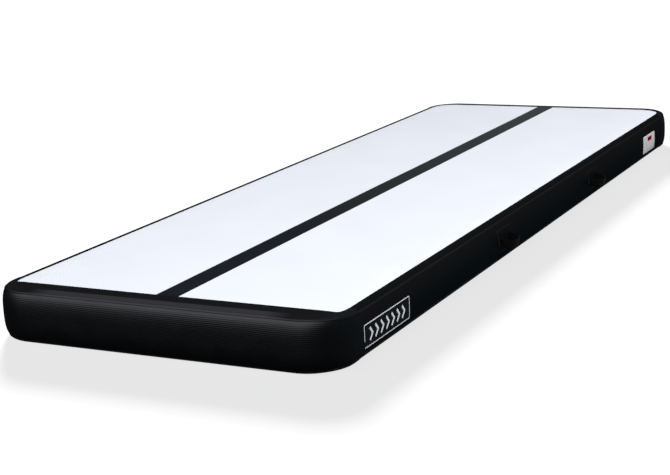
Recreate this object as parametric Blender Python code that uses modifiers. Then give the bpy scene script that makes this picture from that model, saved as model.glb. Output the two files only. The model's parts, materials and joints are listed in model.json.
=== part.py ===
"""Inflatable air track mat with drop-stitch core, carry handles and an inflation valve.

Metres, +Z up. The origin is the centre of the face that the mat rests on. The mat's length runs along
Y, and its near end (-Y) has the wide border. +X is the badge side.
"""

import math

import bmesh
import bpy
from mathutils import Matrix, Vector

# Driving dimensions of the inflated mat.
LENGTH = 3.000
WIDTH = 1.000
HEIGHT = 0.132
CORNER_RADIUS = 0.117

# The wall is a superellipse: its fullest point is at mid-height, and its top and bottom edges sit
# SHOULDER_DEPTH further in.
SHOULDER_DEPTH = 0.022
SHOULDER_POWER = 2.8
FLANGE_WIDTH = 0.030

# Sheet materials, and the clearance that keeps neighbouring solids apart.
PANEL_THICKNESS = 0.0012
WALL_THICKNESS = 0.0010
TAPE_THICKNESS = 0.0008
STRIPE_THICKNESS = 0.0005
GAP = 0.0003

# Borders, measured in from the fullest point of the wall.
SIDE_BORDER = 0.027
NEAR_BORDER = 0.092
END_BORDER = 0.030
END_WRAP = 0.135
SIDE_TAPE_ANGLE = 50
END_TAPE_ANGLE = 60

STRIPE_WIDTH = 0.064
STRIPE_CENTRE_X = -0.003

THREAD_ROWS = 7
THREAD_ROW_PITCH = 0.130
THREAD_BAY = 0.120
THREAD_RADIUS = 0.0007

HANDLE_POSITIONS = {"near": -0.410, "far": 0.445}
HANDLE_PATCH_LENGTH = 0.104
HANDLE_PATCH_HEIGHT = 0.068
STRAP_WIDTH = 0.025
STRAP_THICKNESS = 0.0025
STRAP_HALF_SPAN = 0.042
STRAP_ROOT = 0.010
STRAP_REACH = 0.042
STRAP_DROOP = math.radians(12)
STRAP_FULLNESS = 0.8
STRAP_STEPS = 12
TAB_LENGTH = 0.014
TAB_HEIGHT = 0.030
TAB_THICKNESS = 0.0020

BADGE_CENTRE_Y = -1.218
BADGE_LENGTH = 0.264
BADGE_HEIGHT = 0.060
LABEL_CENTRE_Y = 1.168
LABEL_LENGTH = 0.156
LABEL_HEIGHT = 0.066
SIGN_CENTRE_Z = 0.056
SIGN_THICKNESS = 0.0005

VALVE_X = -0.300
VALVE_PATCH_RADIUS = 0.046
VALVE_HOLE_RADIUS = 0.018

# Levels and lines worked out from the driving dimensions. The panels' rims lie one tape in from the
# mat's top and bottom, and the floor presses the bottom panel's middle flush with its tapes.
MID_Z = HEIGHT / 2
RIM_LEVEL = TAPE_THICKNESS + GAP
TOP_PANEL_LEVEL = HEIGHT - RIM_LEVEL
WALL_HALF_HEIGHT = MID_Z - RIM_LEVEL - PANEL_THICKNESS - GAP
PANEL_INSET = SHOULDER_DEPTH + 0.001
PRESSED_INSET = END_BORDER + 0.0005
PRESSED_SLOPE = 0.002
CORNER_STEPS = 8
WALL_ANGLES = (90, 80, 70, 60, 50, 35, 20, 0, -20, -35, -50, -60, -70, -80, -90)
TURN_STEPS = 32

COLLECTION = "air_track_mat"
CUTTERS = "cutters"


def clear_scene():
    for obj in list(bpy.data.objects):
        bpy.data.objects.remove(obj)
    for name in (COLLECTION, CUTTERS):
        collection = bpy.data.collections.new(name)
        bpy.context.scene.collection.children.link(collection)


def make_material(name, colour, roughness, metallic=0.0):
    material = bpy.data.materials.new(name)
    material.use_nodes = True
    shader = material.node_tree.nodes["Principled BSDF"]
    shader.inputs["Base Color"].default_value = (*colour, 1.0)
    shader.inputs["Roughness"].default_value = roughness
    shader.inputs["Metallic"].default_value = metallic
    return material


def make_materials():
    return {
        "white_pvc": make_material("white_pvc", (0.84, 0.87, 0.92), 0.45),
        "black_pvc": make_material("black_pvc", (0.012, 0.014, 0.018), 0.40),
        "ribbed_pvc": make_material("ribbed_pvc", (0.016, 0.017, 0.021), 0.50),
        "navy_pvc": make_material("navy_pvc", (0.010, 0.012, 0.028), 0.50),
        "thread": make_material("thread", (0.75, 0.75, 0.72), 0.80),
        "webbing": make_material("webbing", (0.016, 0.018, 0.014), 0.75),
        "label": make_material("label", (0.88, 0.88, 0.88), 0.50),
        "badge": make_material("badge", (0.014, 0.020, 0.026), 0.45),
        "valve_plastic": make_material("valve_plastic", (0.020, 0.020, 0.022), 0.40),
        "cap_plastic": make_material("cap_plastic", (0.050, 0.052, 0.056), 0.45),
        "rubber": make_material("rubber", (0.015, 0.015, 0.015), 0.80),
        "steel": make_material("steel", (0.60, 0.60, 0.62), 0.30, 1.0),
    }


def add_to(collection, obj):
    bpy.data.collections[collection].objects.link(obj)
    return obj


def finish(obj, material):
    """Give a sub-part its material and its place in the object's collection."""
    obj.data.materials.clear()
    obj.data.materials.append(material)
    return add_to(COLLECTION, obj)


def as_guide(obj):
    obj.hide_render = True
    obj.display_type = "WIRE"
    return add_to(CUTTERS, obj)


def smooth(mesh, angle=40):
    mesh.shade_smooth()
    mesh.set_sharp_from_angle(angle=math.radians(angle))


# Outlines


def wall_point(angle, offset=0.0):
    """(outward, z) on the wall's outer face at an angle in degrees, moved along the face's normal."""
    cosine = max(math.cos(math.radians(angle)), 0.0)
    sine = math.sin(math.radians(angle))
    side = math.copysign(1.0, sine)
    outward = SHOULDER_DEPTH * (cosine ** (2 / SHOULDER_POWER) - 1)
    height = MID_Z + side * WALL_HALF_HEIGHT * abs(sine) ** (2 / SHOULDER_POWER)
    normal = Vector(
        (
            cosine ** (2 - 2 / SHOULDER_POWER) / SHOULDER_DEPTH,
            side * abs(sine) ** (2 - 2 / SHOULDER_POWER) / WALL_HALF_HEIGHT,
        )
    ).normalized()
    return outward + offset * normal.x, height + offset * normal.y


def wall_angle(z):
    """The angle, in degrees, at which the wall's outer face is at height z."""
    share = (z - MID_Z) / WALL_HALF_HEIGHT
    return math.degrees(math.asin(math.copysign(abs(share) ** (SHOULDER_POWER / 2), share)))


def ring_section(outer, inner):
    """A closed, clockwise section between an outer and an inner line that both run top to bottom."""
    return list(outer) + list(reversed(inner))


def wall_section():
    """The wall strip: a bowed wall whose two flanges lie inside the panels' rims."""

    def line(offset):
        points = [wall_point(angle, offset) for angle in WALL_ANGLES]
        flange_x = -(SHOULDER_DEPTH + FLANGE_WIDTH)
        return [(flange_x, points[0][1])] + points + [(flange_x, points[-1][1])]

    return ring_section(line(0.0), line(-WALL_THICKNESS))


def tape_section(border, lower_angle, upside_down=False):
    """A seam tape that lies on a panel's edge and bends over the shoulder onto the wall."""
    angles = [angle for angle in WALL_ANGLES if angle >= lower_angle]
    flat_offset = PANEL_THICKNESS + 2 * GAP

    def line(extra):
        points = []
        for angle in angles:
            share = (90 - angle) / (90 - lower_angle)
            points.append(wall_point(angle, flat_offset + (GAP - flat_offset) * share + extra))
        return [(-border, points[0][1])] + points

    outer, inner = line(TAPE_THICKNESS), line(0.0)
    section = ring_section(outer, inner)
    if upside_down:
        section = [(x, HEIGHT - z) for x, z in reversed(section)]
    return section


def sheet_section(top_z, bottom_z, thickness, offset=GAP, steps=6):
    """A thin sheet that lies on the wall between two heights."""
    top, bottom = wall_angle(top_z), wall_angle(bottom_z)
    angles = [top + (bottom - top) * step / steps for step in range(steps + 1)]
    outer = [wall_point(angle, offset + thickness) for angle in angles]
    inner = [wall_point(angle, offset) for angle in angles]
    return ring_section(outer, inner)


def corner_arc(centre, start_degrees, radius):
    """A quarter turn, counter-clockwise, as a list of points."""
    angles = [math.radians(start_degrees + 90 * step / CORNER_STEPS) for step in range(CORNER_STEPS + 1)]
    return [(centre[0] + radius * math.cos(a), centre[1] + radius * math.sin(a)) for a in angles]


def mat_outline(inset):
    """The whole plan outline, counter-clockwise, drawn in from the wall's fullest point."""
    x = WIDTH / 2 - CORNER_RADIUS
    y = LENGTH / 2 - CORNER_RADIUS
    radius = CORNER_RADIUS - inset
    corners = (((x, -y), -90), ((x, y), 0), ((-x, y), 90), ((-x, -y), 180))
    return [point for centre, start in corners for point in corner_arc(centre, start, radius)]


def near_end_path():
    """The wall's fullest line round the near end, from the left side to the right side."""
    x = WIDTH / 2 - CORNER_RADIUS
    y = -LENGTH / 2 + CORNER_RADIUS
    wrap_y = -LENGTH / 2 + END_WRAP
    path = [(-WIDTH / 2, wrap_y)]
    path += corner_arc((-x, y), 180, CORNER_RADIUS)
    path += corner_arc((x, y), -90, CORNER_RADIUS)
    return path + [(WIDTH / 2, wrap_y)]


def far_end_path():
    return [(-x, -y) for x, y in near_end_path()]


def right_side_path():
    y = LENGTH / 2 - END_WRAP - GAP
    return [(WIDTH / 2, -y), (WIDTH / 2, y)]


def left_side_path():
    return [(-x, -y) for x, y in right_side_path()]


def wall_strip_path(side, centre_y, length):
    """A short straight piece of the wall's fullest line, counter-clockwise round the mat."""
    half = side * length / 2
    return [(side * WIDTH / 2, centre_y - half), (side * WIDTH / 2, centre_y + half)]


# Shapes


def make_polyline(name, points, cyclic):
    curve = bpy.data.curves.new(name, "CURVE")
    curve.dimensions = "2D"
    curve.fill_mode = "NONE"
    spline = curve.splines.new("POLY")
    spline.points.add(len(points) - 1)
    for slot, point in zip(spline.points, points):
        slot.co = (point[0], point[1], 0.0, 1.0)
    spline.use_cyclic_u = cyclic
    return bpy.data.objects.new(name, curve)


def make_wire(name, points, radius, resolution):
    """A round wire with capped ends along 3D points."""
    curve = bpy.data.curves.new(name, "CURVE")
    curve.dimensions = "3D"
    spline = curve.splines.new("POLY")
    spline.points.add(len(points) - 1)
    for slot, point in zip(spline.points, points):
        slot.co = (*point, 1.0)
    curve.bevel_depth = radius
    curve.bevel_resolution = resolution
    curve.use_fill_caps = True
    return bpy.data.objects.new(name, curve)


def swept_strip(name, section, path, material):
    """A section carried along a plan path that has the outside of the mat on its right."""
    profile = as_guide(make_polyline(name + "_section", section, cyclic=True))
    strip = make_polyline(name, path, cyclic=False)
    strip.data.bevel_mode = "OBJECT"
    strip.data.bevel_object = profile
    strip.data.use_fill_caps = True
    return finish(strip, material)


def flat_sheet(name, outline, low_z, thickness, material):
    sheet = make_polyline(name, outline, cyclic=True)
    sheet.data.fill_mode = "BOTH"
    sheet.data.extrude = thickness / 2
    sheet.location.z = low_z + thickness / 2
    return finish(sheet, material)


def turned(name, profile, material, closed, steps=TURN_STEPS):
    """A profile of (radius, height), outer side top to bottom, turned about Z."""
    mesh = bpy.data.meshes.new(name)
    points = [(radius, 0.0, height) for radius, height in profile]
    edges = [(i, i + 1) for i in range(len(points) - 1)]
    if closed:
        edges.append((len(points) - 1, 0))
    mesh.from_pydata(points, edges, [])
    obj = finish(bpy.data.objects.new(name, mesh), material)
    screw = obj.modifiers.new("turn", "SCREW")
    screw.steps = steps
    screw.render_steps = steps
    screw.use_merge_vertices = True
    screw.merge_threshold = 0.00001
    screw.use_smooth_shade = False
    return obj


def as_mesh_object(obj):
    """Turn a curve or an object with modifiers into a plain, welded mesh object of the same name."""
    graph = bpy.context.evaluated_depsgraph_get()
    mesh = bpy.data.meshes.new_from_object(obj.evaluated_get(graph))
    welded = bmesh.new()
    welded.from_mesh(mesh)
    bmesh.ops.remove_doubles(welded, verts=welded.verts, dist=0.00001)
    welded.to_mesh(mesh)
    welded.free()
    name, matrix, material = obj.name, obj.matrix_world.copy(), obj.data.materials[0]
    bpy.data.objects.remove(obj)
    made = bpy.data.objects.new(name, mesh)
    made.matrix_world = matrix
    return finish(made, material)


def rod_mesh(radius, low, high, places):
    """Upright rods from low to high at the (x, y) places, as one mesh of separate cutters."""
    cutter = bmesh.new()
    for x, y in places:
        bmesh.ops.create_cone(
            cutter,
            cap_ends=True,
            segments=TURN_STEPS,
            radius1=radius,
            radius2=radius,
            depth=high - low,
            matrix=Matrix.Translation((x, y, (low + high) / 2)),
        )
    mesh = bpy.data.meshes.new("rods")
    cutter.to_mesh(mesh)
    cutter.free()
    return mesh


def cut(obj, cutter, operation="DIFFERENCE"):
    modifier = obj.modifiers.new(operation.lower(), "BOOLEAN")
    modifier.operation = operation
    modifier.solver = "EXACT"
    modifier.object = cutter
    return modifier


# The air chamber


def press_down(sheet, rim, slope, drop):
    """Step a flat sheet's middle down by drop, inside a level rim and a short slope."""
    shape = bmesh.new()
    shape.from_mesh(sheet.data)
    for direction in (1, -1):
        faces = [face for face in shape.faces if face.normal.z * direction > 0.5]
        bmesh.ops.inset_region(shape, faces=faces, thickness=rim, use_even_offset=True)
        bmesh.ops.inset_region(
            shape, faces=faces, thickness=slope, depth=-direction * drop, use_even_offset=True
        )
    shape.to_mesh(sheet.data)
    shape.free()


def make_panels(materials):
    outline = mat_outline(PANEL_INSET)
    top_low = TOP_PANEL_LEVEL - PANEL_THICKNESS
    flat_sheet("top_panel", outline, top_low, PANEL_THICKNESS, materials["white_pvc"])
    bottom = flat_sheet("bottom_panel", outline, RIM_LEVEL, PANEL_THICKNESS, materials["black_pvc"])
    bottom = as_mesh_object(bottom)
    press_down(bottom, PRESSED_INSET - PANEL_INSET, PRESSED_SLOPE, RIM_LEVEL)


def make_thread_rows(materials):
    """Drop-stitch threads: each row runs up and down between the panels' inner faces."""
    low = PANEL_THICKNESS + GAP + THREAD_RADIUS
    high = TOP_PANEL_LEVEL - low
    bays = int((LENGTH - 2 * NEAR_BORDER) / THREAD_BAY)
    start_y = -bays * THREAD_BAY / 2
    for row in range(THREAD_ROWS):
        x = (row - (THREAD_ROWS - 1) / 2) * THREAD_ROW_PITCH
        points = [
            (x, start_y + turn * THREAD_BAY / 2, high if turn % 2 else low) for turn in range(2 * bays + 1)
        ]
        finish(make_wire(f"drop_stitch_row_{row + 1}", points, THREAD_RADIUS, 0), materials["thread"])


def make_walls(materials):
    section = wall_section()
    swept_strip("end_wall_near", section, near_end_path(), materials["ribbed_pvc"])
    far_wall = swept_strip("end_wall_far", section, far_end_path(), materials["ribbed_pvc"])
    swept_strip("side_wall_right", section, right_side_path(), materials["black_pvc"])
    swept_strip("side_wall_left", section, left_side_path(), materials["black_pvc"])
    return far_wall


def make_seam_tapes(materials):
    ends = {"near": near_end_path(), "far": far_end_path()}
    sides = {"right": right_side_path(), "left": left_side_path()}
    for level, side_border, upside_down in (("top", SIDE_BORDER, False), ("bottom", END_BORDER, True)):
        for place, path in ends.items():
            section = tape_section(END_BORDER, END_TAPE_ANGLE, upside_down)
            swept_strip(f"{level}_tape_{place}", section, path, materials["ribbed_pvc"])
        for place, path in sides.items():
            section = tape_section(side_border, SIDE_TAPE_ANGLE, upside_down)
            swept_strip(f"{level}_tape_{place}", section, path, materials["black_pvc"])


def border_outline(inset, far_y):
    """The flat strip inside the near seam tape: its near corners follow the mat's round corners."""
    x = WIDTH / 2 - CORNER_RADIUS
    y = -LENGTH / 2 + CORNER_RADIUS
    radius = CORNER_RADIUS - inset
    first = math.asin((far_y - y) / radius)
    angles = [first + (-math.pi / 2 - first) * step / CORNER_STEPS for step in range(CORNER_STEPS + 1)]
    right = [(x + radius * math.cos(a), y + radius * math.sin(a)) for a in angles]
    left = [(-px, py) for px, py in reversed(right)]
    return right + left


def make_top_markings(materials):
    """The near end's flat border strip, and the stripe along the middle."""
    level = TOP_PANEL_LEVEL + GAP
    near_y = -LENGTH / 2 + NEAR_BORDER
    border = border_outline(END_BORDER + 2 * GAP, near_y)
    flat_sheet("near_border_strip", border, level, TAPE_THICKNESS, materials["black_pvc"])
    left = STRIPE_CENTRE_X - STRIPE_WIDTH / 2
    right = STRIPE_CENTRE_X + STRIPE_WIDTH / 2
    low_y, high_y = near_y + GAP, LENGTH / 2 - END_BORDER - GAP
    stripe = [(left, low_y), (right, low_y), (right, high_y), (left, high_y)]
    flat_sheet("centre_stripe", stripe, level, STRIPE_THICKNESS, materials["navy_pvc"])


def make_signs(materials):
    """The framed badge and the care label, both glued to the right wall."""
    signs = (
        ("name_badge", BADGE_CENTRE_Y, BADGE_LENGTH, BADGE_HEIGHT, "badge"),
        ("care_label", LABEL_CENTRE_Y, LABEL_LENGTH, LABEL_HEIGHT, "label"),
    )
    for name, centre_y, length, height, material in signs:
        section = sheet_section(SIGN_CENTRE_Z + height / 2, SIGN_CENTRE_Z - height / 2, SIGN_THICKNESS)
        swept_strip(name, section, wall_strip_path(1, centre_y, length), materials[material])


# Carry handles


def strap_outline():
    """The strap seen from above, its root at Y = -span and +span, standing off towards +X."""

    def arch(offset):
        reach = STRAP_REACH - STRAP_ROOT + offset
        span = STRAP_HALF_SPAN + offset
        angles = [math.pi * (step / STRAP_STEPS - 0.5) for step in range(STRAP_STEPS + 1)]
        return [
            (STRAP_ROOT + reach * math.cos(a) ** STRAP_FULLNESS, span * math.sin(a)) for a in angles
        ]

    return arch(STRAP_THICKNESS / 2) + list(reversed(arch(-STRAP_THICKNESS / 2)))


def make_handle(side_name, side, end_name, centre_y, materials):
    """One handle: a base patch on the wall, two tabs that hold the webbing's ends, and the strap."""
    name = f"handle_{side_name}_{end_name}"
    patch = sheet_section(
        MID_Z + HANDLE_PATCH_HEIGHT / 2, MID_Z - HANDLE_PATCH_HEIGHT / 2, TAPE_THICKNESS
    )
    path = wall_strip_path(side, centre_y, HANDLE_PATCH_LENGTH)
    swept_strip(name + "_patch", patch, path, materials["black_pvc"])
    tab = sheet_section(
        MID_Z + TAB_HEIGHT / 2,
        MID_Z - TAB_HEIGHT / 2,
        TAB_THICKNESS,
        offset=2 * GAP + TAPE_THICKNESS,
    )
    for tab_name, direction in (("tab_near", -1), ("tab_far", 1)):
        path = wall_strip_path(side, centre_y + direction * STRAP_HALF_SPAN, TAB_LENGTH)
        swept_strip(f"{name}_{tab_name}", tab, path, materials["webbing"])
    strap = make_polyline(name + "_strap", strap_outline(), cyclic=True)
    strap.data.fill_mode = "BOTH"
    strap.data.extrude = STRAP_WIDTH / 2
    strap.location = (side * strap_axis_x(), centre_y, MID_Z)
    turn = 0.0 if side > 0 else math.pi
    strap.rotation_euler = (0.0, STRAP_DROOP, turn)
    finish(strap, materials["webbing"])


def strap_axis_x():
    """Distance of a strap's swing axis from the mat's middle plane: the patch's outer face."""
    return WIDTH / 2 + GAP + TAPE_THICKNESS


def make_handles(materials):
    for side_name, side in (("right", 1), ("left", -1)):
        for end_name, centre_y in HANDLE_POSITIONS.items():
            make_handle(side_name, side, end_name, centre_y, materials)


# Inflation valve. Heights in these profiles are distances out from the valve patch's outer face.

NECK_TOP = 0.0150
NECK_RADIUS = 0.0160
NECK_BORE = 0.0120
TUBE_RADIUS = 0.0172
TUBE_BORE = 0.0140
TUBE_END = -0.0220
FLANGE_RADIUS = 0.0290
FLANGE_LOW = 0.0021
FLANGE_TOP = 0.0051
SEAT_BORE = 0.0100
SEAT_TOP = -0.0190
BRIDGE_LOW = -0.0080
BRIDGE_TOP = -0.0055
AIR_HOLE_RADIUS = 0.0020
AIR_HOLE_CIRCLE = 0.0078
STEM_RADIUS = 0.0030
STEM_CLEARANCE = 0.0004
BUTTON_RADIUS = 0.0060
BUTTON_LOW = 0.0060
BUTTON_TOP = 0.0090
SEAL_RADIUS = 0.0120
SEAL_THICKNESS = 0.0017
DISC_RADIUS = 0.0125
DISC_THICKNESS = 0.0022
SPRING_RADIUS = 0.0045
SPRING_WIRE_RADIUS = 0.0004
SPRING_TURNS = 4
SPRING_STEPS = 10
CAP_RADIUS = 0.0195
CAP_LOW = 0.0060
CAP_TOP = 0.0190
CAP_ROOF = 0.0165
CAP_CHAMFER = 0.0010
CAP_GRIPS = 10
CAP_GRIP_RADIUS = 0.0018
TETHER_LOW = 0.0072
TETHER_TOP = 0.0090
TETHER_INNER = 0.0182
TETHER_OUTER = 0.0206
TETHER_GROOVE = 0.0179
TETHER_LIP = 0.0188


def valve_pivot():
    """An empty on the valve's axis whose Z points out of the far wall."""
    pivot = bpy.data.objects.new("valve_pivot", None)
    pivot.location = (VALVE_X, LENGTH / 2 + GAP + TAPE_THICKNESS, MID_Z)
    pivot.rotation_euler = (-math.pi / 2, 0.0, 0.0)
    return add_to(CUTTERS, pivot)


def circle_of(radius, count, first):
    """Evenly spaced (x, y) places on a circle, the first one at a share of the step past +X."""
    turns = [2 * math.pi * (step + first) / count for step in range(count)]
    return [(radius * math.cos(turn), radius * math.sin(turn)) for turn in turns]


def block_mesh(name, centre, size):
    block = bmesh.new()
    bmesh.ops.create_cube(block, matrix=Matrix.Translation(centre) @ Matrix.Diagonal((*size, 1)))
    mesh = bpy.data.meshes.new(name)
    block.to_mesh(mesh)
    block.free()
    return mesh


def cutter_at(name, mesh, pivot):
    cutter = as_guide(bpy.data.objects.new(name, mesh))
    cutter.parent = pivot
    return cutter


def make_valve_patch(pivot, far_wall, materials):
    """The round reinforcing patch, and the hole through it and the far wall."""
    reach = VALVE_PATCH_RADIUS * 1.1
    section = sheet_section(MID_Z + reach, MID_Z - reach, TAPE_THICKNESS, steps=12)
    path = [(VALVE_X + reach, LENGTH / 2), (VALVE_X - reach, LENGTH / 2)]
    patch = as_mesh_object(swept_strip("valve_patch", section, path, materials["black_pvc"]))
    wall = as_mesh_object(far_wall)
    depth = SHOULDER_DEPTH
    disc = cutter_at("patch_disc", rod_mesh(VALVE_PATCH_RADIUS, -depth, depth, [(0, 0)]), pivot)
    hole = cutter_at("valve_hole", rod_mesh(VALVE_HOLE_RADIUS, -depth, depth, [(0, 0)]), pivot)
    cut(patch, disc, "INTERSECT")
    cut(patch, hole)
    cut(wall, hole)


def make_valve_body(pivot, materials):
    """Flange, threaded neck and tube in one moulding, with a bridge that guides the plunger."""
    stem_hole = STEM_RADIUS + STEM_CLEARANCE
    profile = [
        (NECK_RADIUS, NECK_TOP),
        (NECK_RADIUS, FLANGE_TOP),
        (FLANGE_RADIUS, FLANGE_TOP),
        (FLANGE_RADIUS, FLANGE_LOW),
        (TUBE_RADIUS, FLANGE_LOW),
        (TUBE_RADIUS, TUBE_END),
        (SEAT_BORE, TUBE_END),
        (SEAT_BORE, SEAT_TOP),
        (TUBE_BORE, SEAT_TOP),
        (TUBE_BORE, BRIDGE_LOW),
        (stem_hole, BRIDGE_LOW),
        (stem_hole, BRIDGE_TOP),
        (NECK_BORE, BRIDGE_TOP),
        (NECK_BORE, NECK_TOP),
    ]
    body = turned("valve_body", profile, materials["valve_plastic"], closed=True)
    body.parent = pivot
    places = circle_of(AIR_HOLE_CIRCLE, 4, 0.0)
    air_holes = rod_mesh(AIR_HOLE_RADIUS, BRIDGE_LOW - 0.001, BRIDGE_TOP + 0.001, places)
    cut(body, cutter_at("air_holes", air_holes, pivot))


def make_valve_rings(pivot, materials):
    """Gasket, inner nut, plunger seal and cap gasket, each a plain ring: inner and outer radius, low, high."""
    seal_top = TUBE_END - GAP
    rings = (
        ("valve_gasket", VALVE_HOLE_RADIUS + GAP, FLANGE_RADIUS - 0.001, GAP, FLANGE_LOW - GAP, "rubber"),
        ("valve_nut", TUBE_RADIUS + GAP, FLANGE_RADIUS - 0.004, -0.0090, -0.0030, "valve_plastic"),
        ("valve_seal", STEM_RADIUS + GAP, SEAL_RADIUS, seal_top - SEAL_THICKNESS, seal_top, "rubber"),
        ("valve_cap_gasket", NECK_BORE + GAP, NECK_RADIUS - GAP, NECK_TOP + GAP, CAP_ROOF - GAP, "rubber"),
    )
    for name, inner, outer, low, high, material in rings:
        profile = [(outer, high), (outer, low), (inner, low), (inner, high)]
        ring = turned(name, profile, materials[material], closed=True)
        ring.parent = pivot


def make_valve_plunger(pivot, materials):
    """Push button, stem and sealing disc in one piece."""
    chamfer = 0.0005
    disc_top = TUBE_END - SEAL_THICKNESS - 2 * GAP
    profile = [
        (0.0, BUTTON_TOP),
        (BUTTON_RADIUS - chamfer, BUTTON_TOP),
        (BUTTON_RADIUS, BUTTON_TOP - chamfer),
        (BUTTON_RADIUS, BUTTON_LOW),
        (STEM_RADIUS, BUTTON_LOW),
        (STEM_RADIUS, disc_top),
        (DISC_RADIUS, disc_top),
        (DISC_RADIUS, disc_top - DISC_THICKNESS),
        (0.0, disc_top - DISC_THICKNESS),
    ]
    plunger = turned("valve_plunger", profile, materials["valve_plastic"], closed=False, steps=24)
    plunger.parent = pivot


def make_valve_spring(pivot, materials):
    """The coil that lifts the plunger's head off the bridge and so shuts the valve."""
    low = BRIDGE_TOP + SPRING_WIRE_RADIUS + GAP
    high = BUTTON_LOW - SPRING_WIRE_RADIUS - GAP
    count = SPRING_TURNS * SPRING_STEPS
    points = []
    for step in range(count + 1):
        angle = 2 * math.pi * step / SPRING_STEPS
        height = low + (high - low) * step / count
        points.append((SPRING_RADIUS * math.cos(angle), SPRING_RADIUS * math.sin(angle), height))
    spring = make_wire("valve_spring", points, SPRING_WIRE_RADIUS, 1)
    finish(spring, materials["steel"]).parent = pivot


def make_valve_cap(pivot, materials):
    """Screw cap with a gripped skirt, and a groove that holds the tether's ring."""
    skirt_bore = NECK_RADIUS + STEM_CLEARANCE
    profile = [
        (0.0, CAP_TOP),
        (CAP_RADIUS - CAP_CHAMFER, CAP_TOP),
        (CAP_RADIUS, CAP_TOP - CAP_CHAMFER),
        (CAP_RADIUS, TETHER_TOP + GAP),
        (TETHER_GROOVE, TETHER_TOP + GAP),
        (TETHER_GROOVE, TETHER_LOW - GAP),
        (TETHER_LIP, TETHER_LOW - GAP),
        (TETHER_LIP, CAP_LOW),
        (skirt_bore, CAP_LOW),
        (skirt_bore, CAP_ROOF),
        (0.0, CAP_ROOF),
    ]
    cap = turned("valve_cap", profile, materials["cap_plastic"], closed=False)
    cap.parent = pivot
    places = circle_of(CAP_RADIUS + CAP_GRIP_RADIUS / 2, CAP_GRIPS, 0.5)
    flutes = rod_mesh(CAP_GRIP_RADIUS, TETHER_TOP + 0.001, CAP_TOP + 0.001, places)
    cut(cap, cutter_at("cap_flutes", flutes, pivot))


def make_valve_tether(pivot, materials):
    """A ring in the cap's groove with a strap that hangs down towards an anchor tab on the patch."""
    strap_size = (0.0050, 0.0145, 0.0014)
    tab_size = (0.0090, 0.0080, 0.0060)
    strap_y = TETHER_OUTER - 0.0013 + strap_size[1] / 2
    tab_y = strap_y + strap_size[1] / 2
    profile = [
        (TETHER_OUTER, TETHER_TOP),
        (TETHER_OUTER, TETHER_LOW),
        (TETHER_INNER, TETHER_LOW),
        (TETHER_INNER, TETHER_TOP),
    ]
    ring = turned("valve_tether", profile, materials["rubber"], closed=True)
    ring.parent = pivot
    strap = block_mesh("tether_strap", (0.0, strap_y, (TETHER_LOW + TETHER_TOP) / 2), strap_size)
    cut(ring, cutter_at("tether_strap", strap, pivot), "UNION")
    tab = block_mesh("valve_tether_tab", (0.0, tab_y, 0.001 + tab_size[2] / 2), tab_size)
    tab = bpy.data.objects.new("valve_tether_tab", tab)
    finish(tab, materials["rubber"]).parent = pivot


def make_valve(far_wall, materials):
    pivot = valve_pivot()
    make_valve_patch(pivot, far_wall, materials)
    make_valve_body(pivot, materials)
    make_valve_rings(pivot, materials)
    make_valve_plunger(pivot, materials)
    make_valve_spring(pivot, materials)
    make_valve_cap(pivot, materials)
    make_valve_tether(pivot, materials)


def smooth_everything():
    for obj in bpy.data.collections[COLLECTION].objects:
        if obj.type == "MESH":
            smooth(obj.data)


def main():
    clear_scene()
    materials = make_materials()
    make_panels(materials)
    make_thread_rows(materials)
    far_wall = make_walls(materials)
    make_seam_tapes(materials)
    make_top_markings(materials)
    make_signs(materials)
    make_handles(materials)
    make_valve(far_wall, materials)
    smooth_everything()


main()
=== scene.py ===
"""Looks of an inflatable air track mat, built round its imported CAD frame.

Metres, +Z up, in the frame's own axes: the near end is -Y and the badge side is +X. Every sheet lies on
the mat's skin, which has two coordinates: s runs counter-clockwise round the plan outline from the middle
of the near end, and v runs down the section from the top of the shoulder.
"""

import json
import math

import bmesh
import bpy
import numpy as np
from mathutils import Matrix, Vector


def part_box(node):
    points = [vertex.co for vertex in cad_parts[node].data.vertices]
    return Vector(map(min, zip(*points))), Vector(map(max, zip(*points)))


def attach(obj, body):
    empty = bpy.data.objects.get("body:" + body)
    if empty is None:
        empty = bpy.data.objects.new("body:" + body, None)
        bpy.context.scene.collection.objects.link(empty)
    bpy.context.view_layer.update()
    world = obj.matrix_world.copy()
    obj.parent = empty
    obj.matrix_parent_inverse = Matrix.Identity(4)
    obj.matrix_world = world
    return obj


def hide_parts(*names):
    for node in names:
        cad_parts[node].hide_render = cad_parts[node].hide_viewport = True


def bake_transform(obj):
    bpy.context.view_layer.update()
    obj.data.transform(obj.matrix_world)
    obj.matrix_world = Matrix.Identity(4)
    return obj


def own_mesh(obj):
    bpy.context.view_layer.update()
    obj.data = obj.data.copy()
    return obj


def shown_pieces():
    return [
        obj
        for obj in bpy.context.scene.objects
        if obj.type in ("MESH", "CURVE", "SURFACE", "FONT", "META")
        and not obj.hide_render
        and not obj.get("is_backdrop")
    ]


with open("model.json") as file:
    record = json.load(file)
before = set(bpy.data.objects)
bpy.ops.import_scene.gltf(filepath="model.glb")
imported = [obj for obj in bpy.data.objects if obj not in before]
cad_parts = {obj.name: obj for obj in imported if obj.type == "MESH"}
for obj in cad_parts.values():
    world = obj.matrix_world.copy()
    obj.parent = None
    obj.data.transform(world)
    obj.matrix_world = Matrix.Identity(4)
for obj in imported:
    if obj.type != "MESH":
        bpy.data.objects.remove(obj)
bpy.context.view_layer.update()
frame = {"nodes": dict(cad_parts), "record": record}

# The mat's main lines, read from the frame.
wall_low, wall_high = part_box("side_wall_right")
HALF_WIDTH = wall_high.x
HALF_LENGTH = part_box("end_wall_far")[1].y
MID_Z = (wall_low.z + wall_high.z) / 2
WALL_HALF = (wall_high.z - wall_low.z) / 2
PANEL_HALF_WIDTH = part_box("top_panel")[1].x
SHOULDER = HALF_WIDTH - PANEL_HALF_WIDTH - 0.001
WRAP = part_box("end_wall_near")[1].y + HALF_LENGTH
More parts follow.
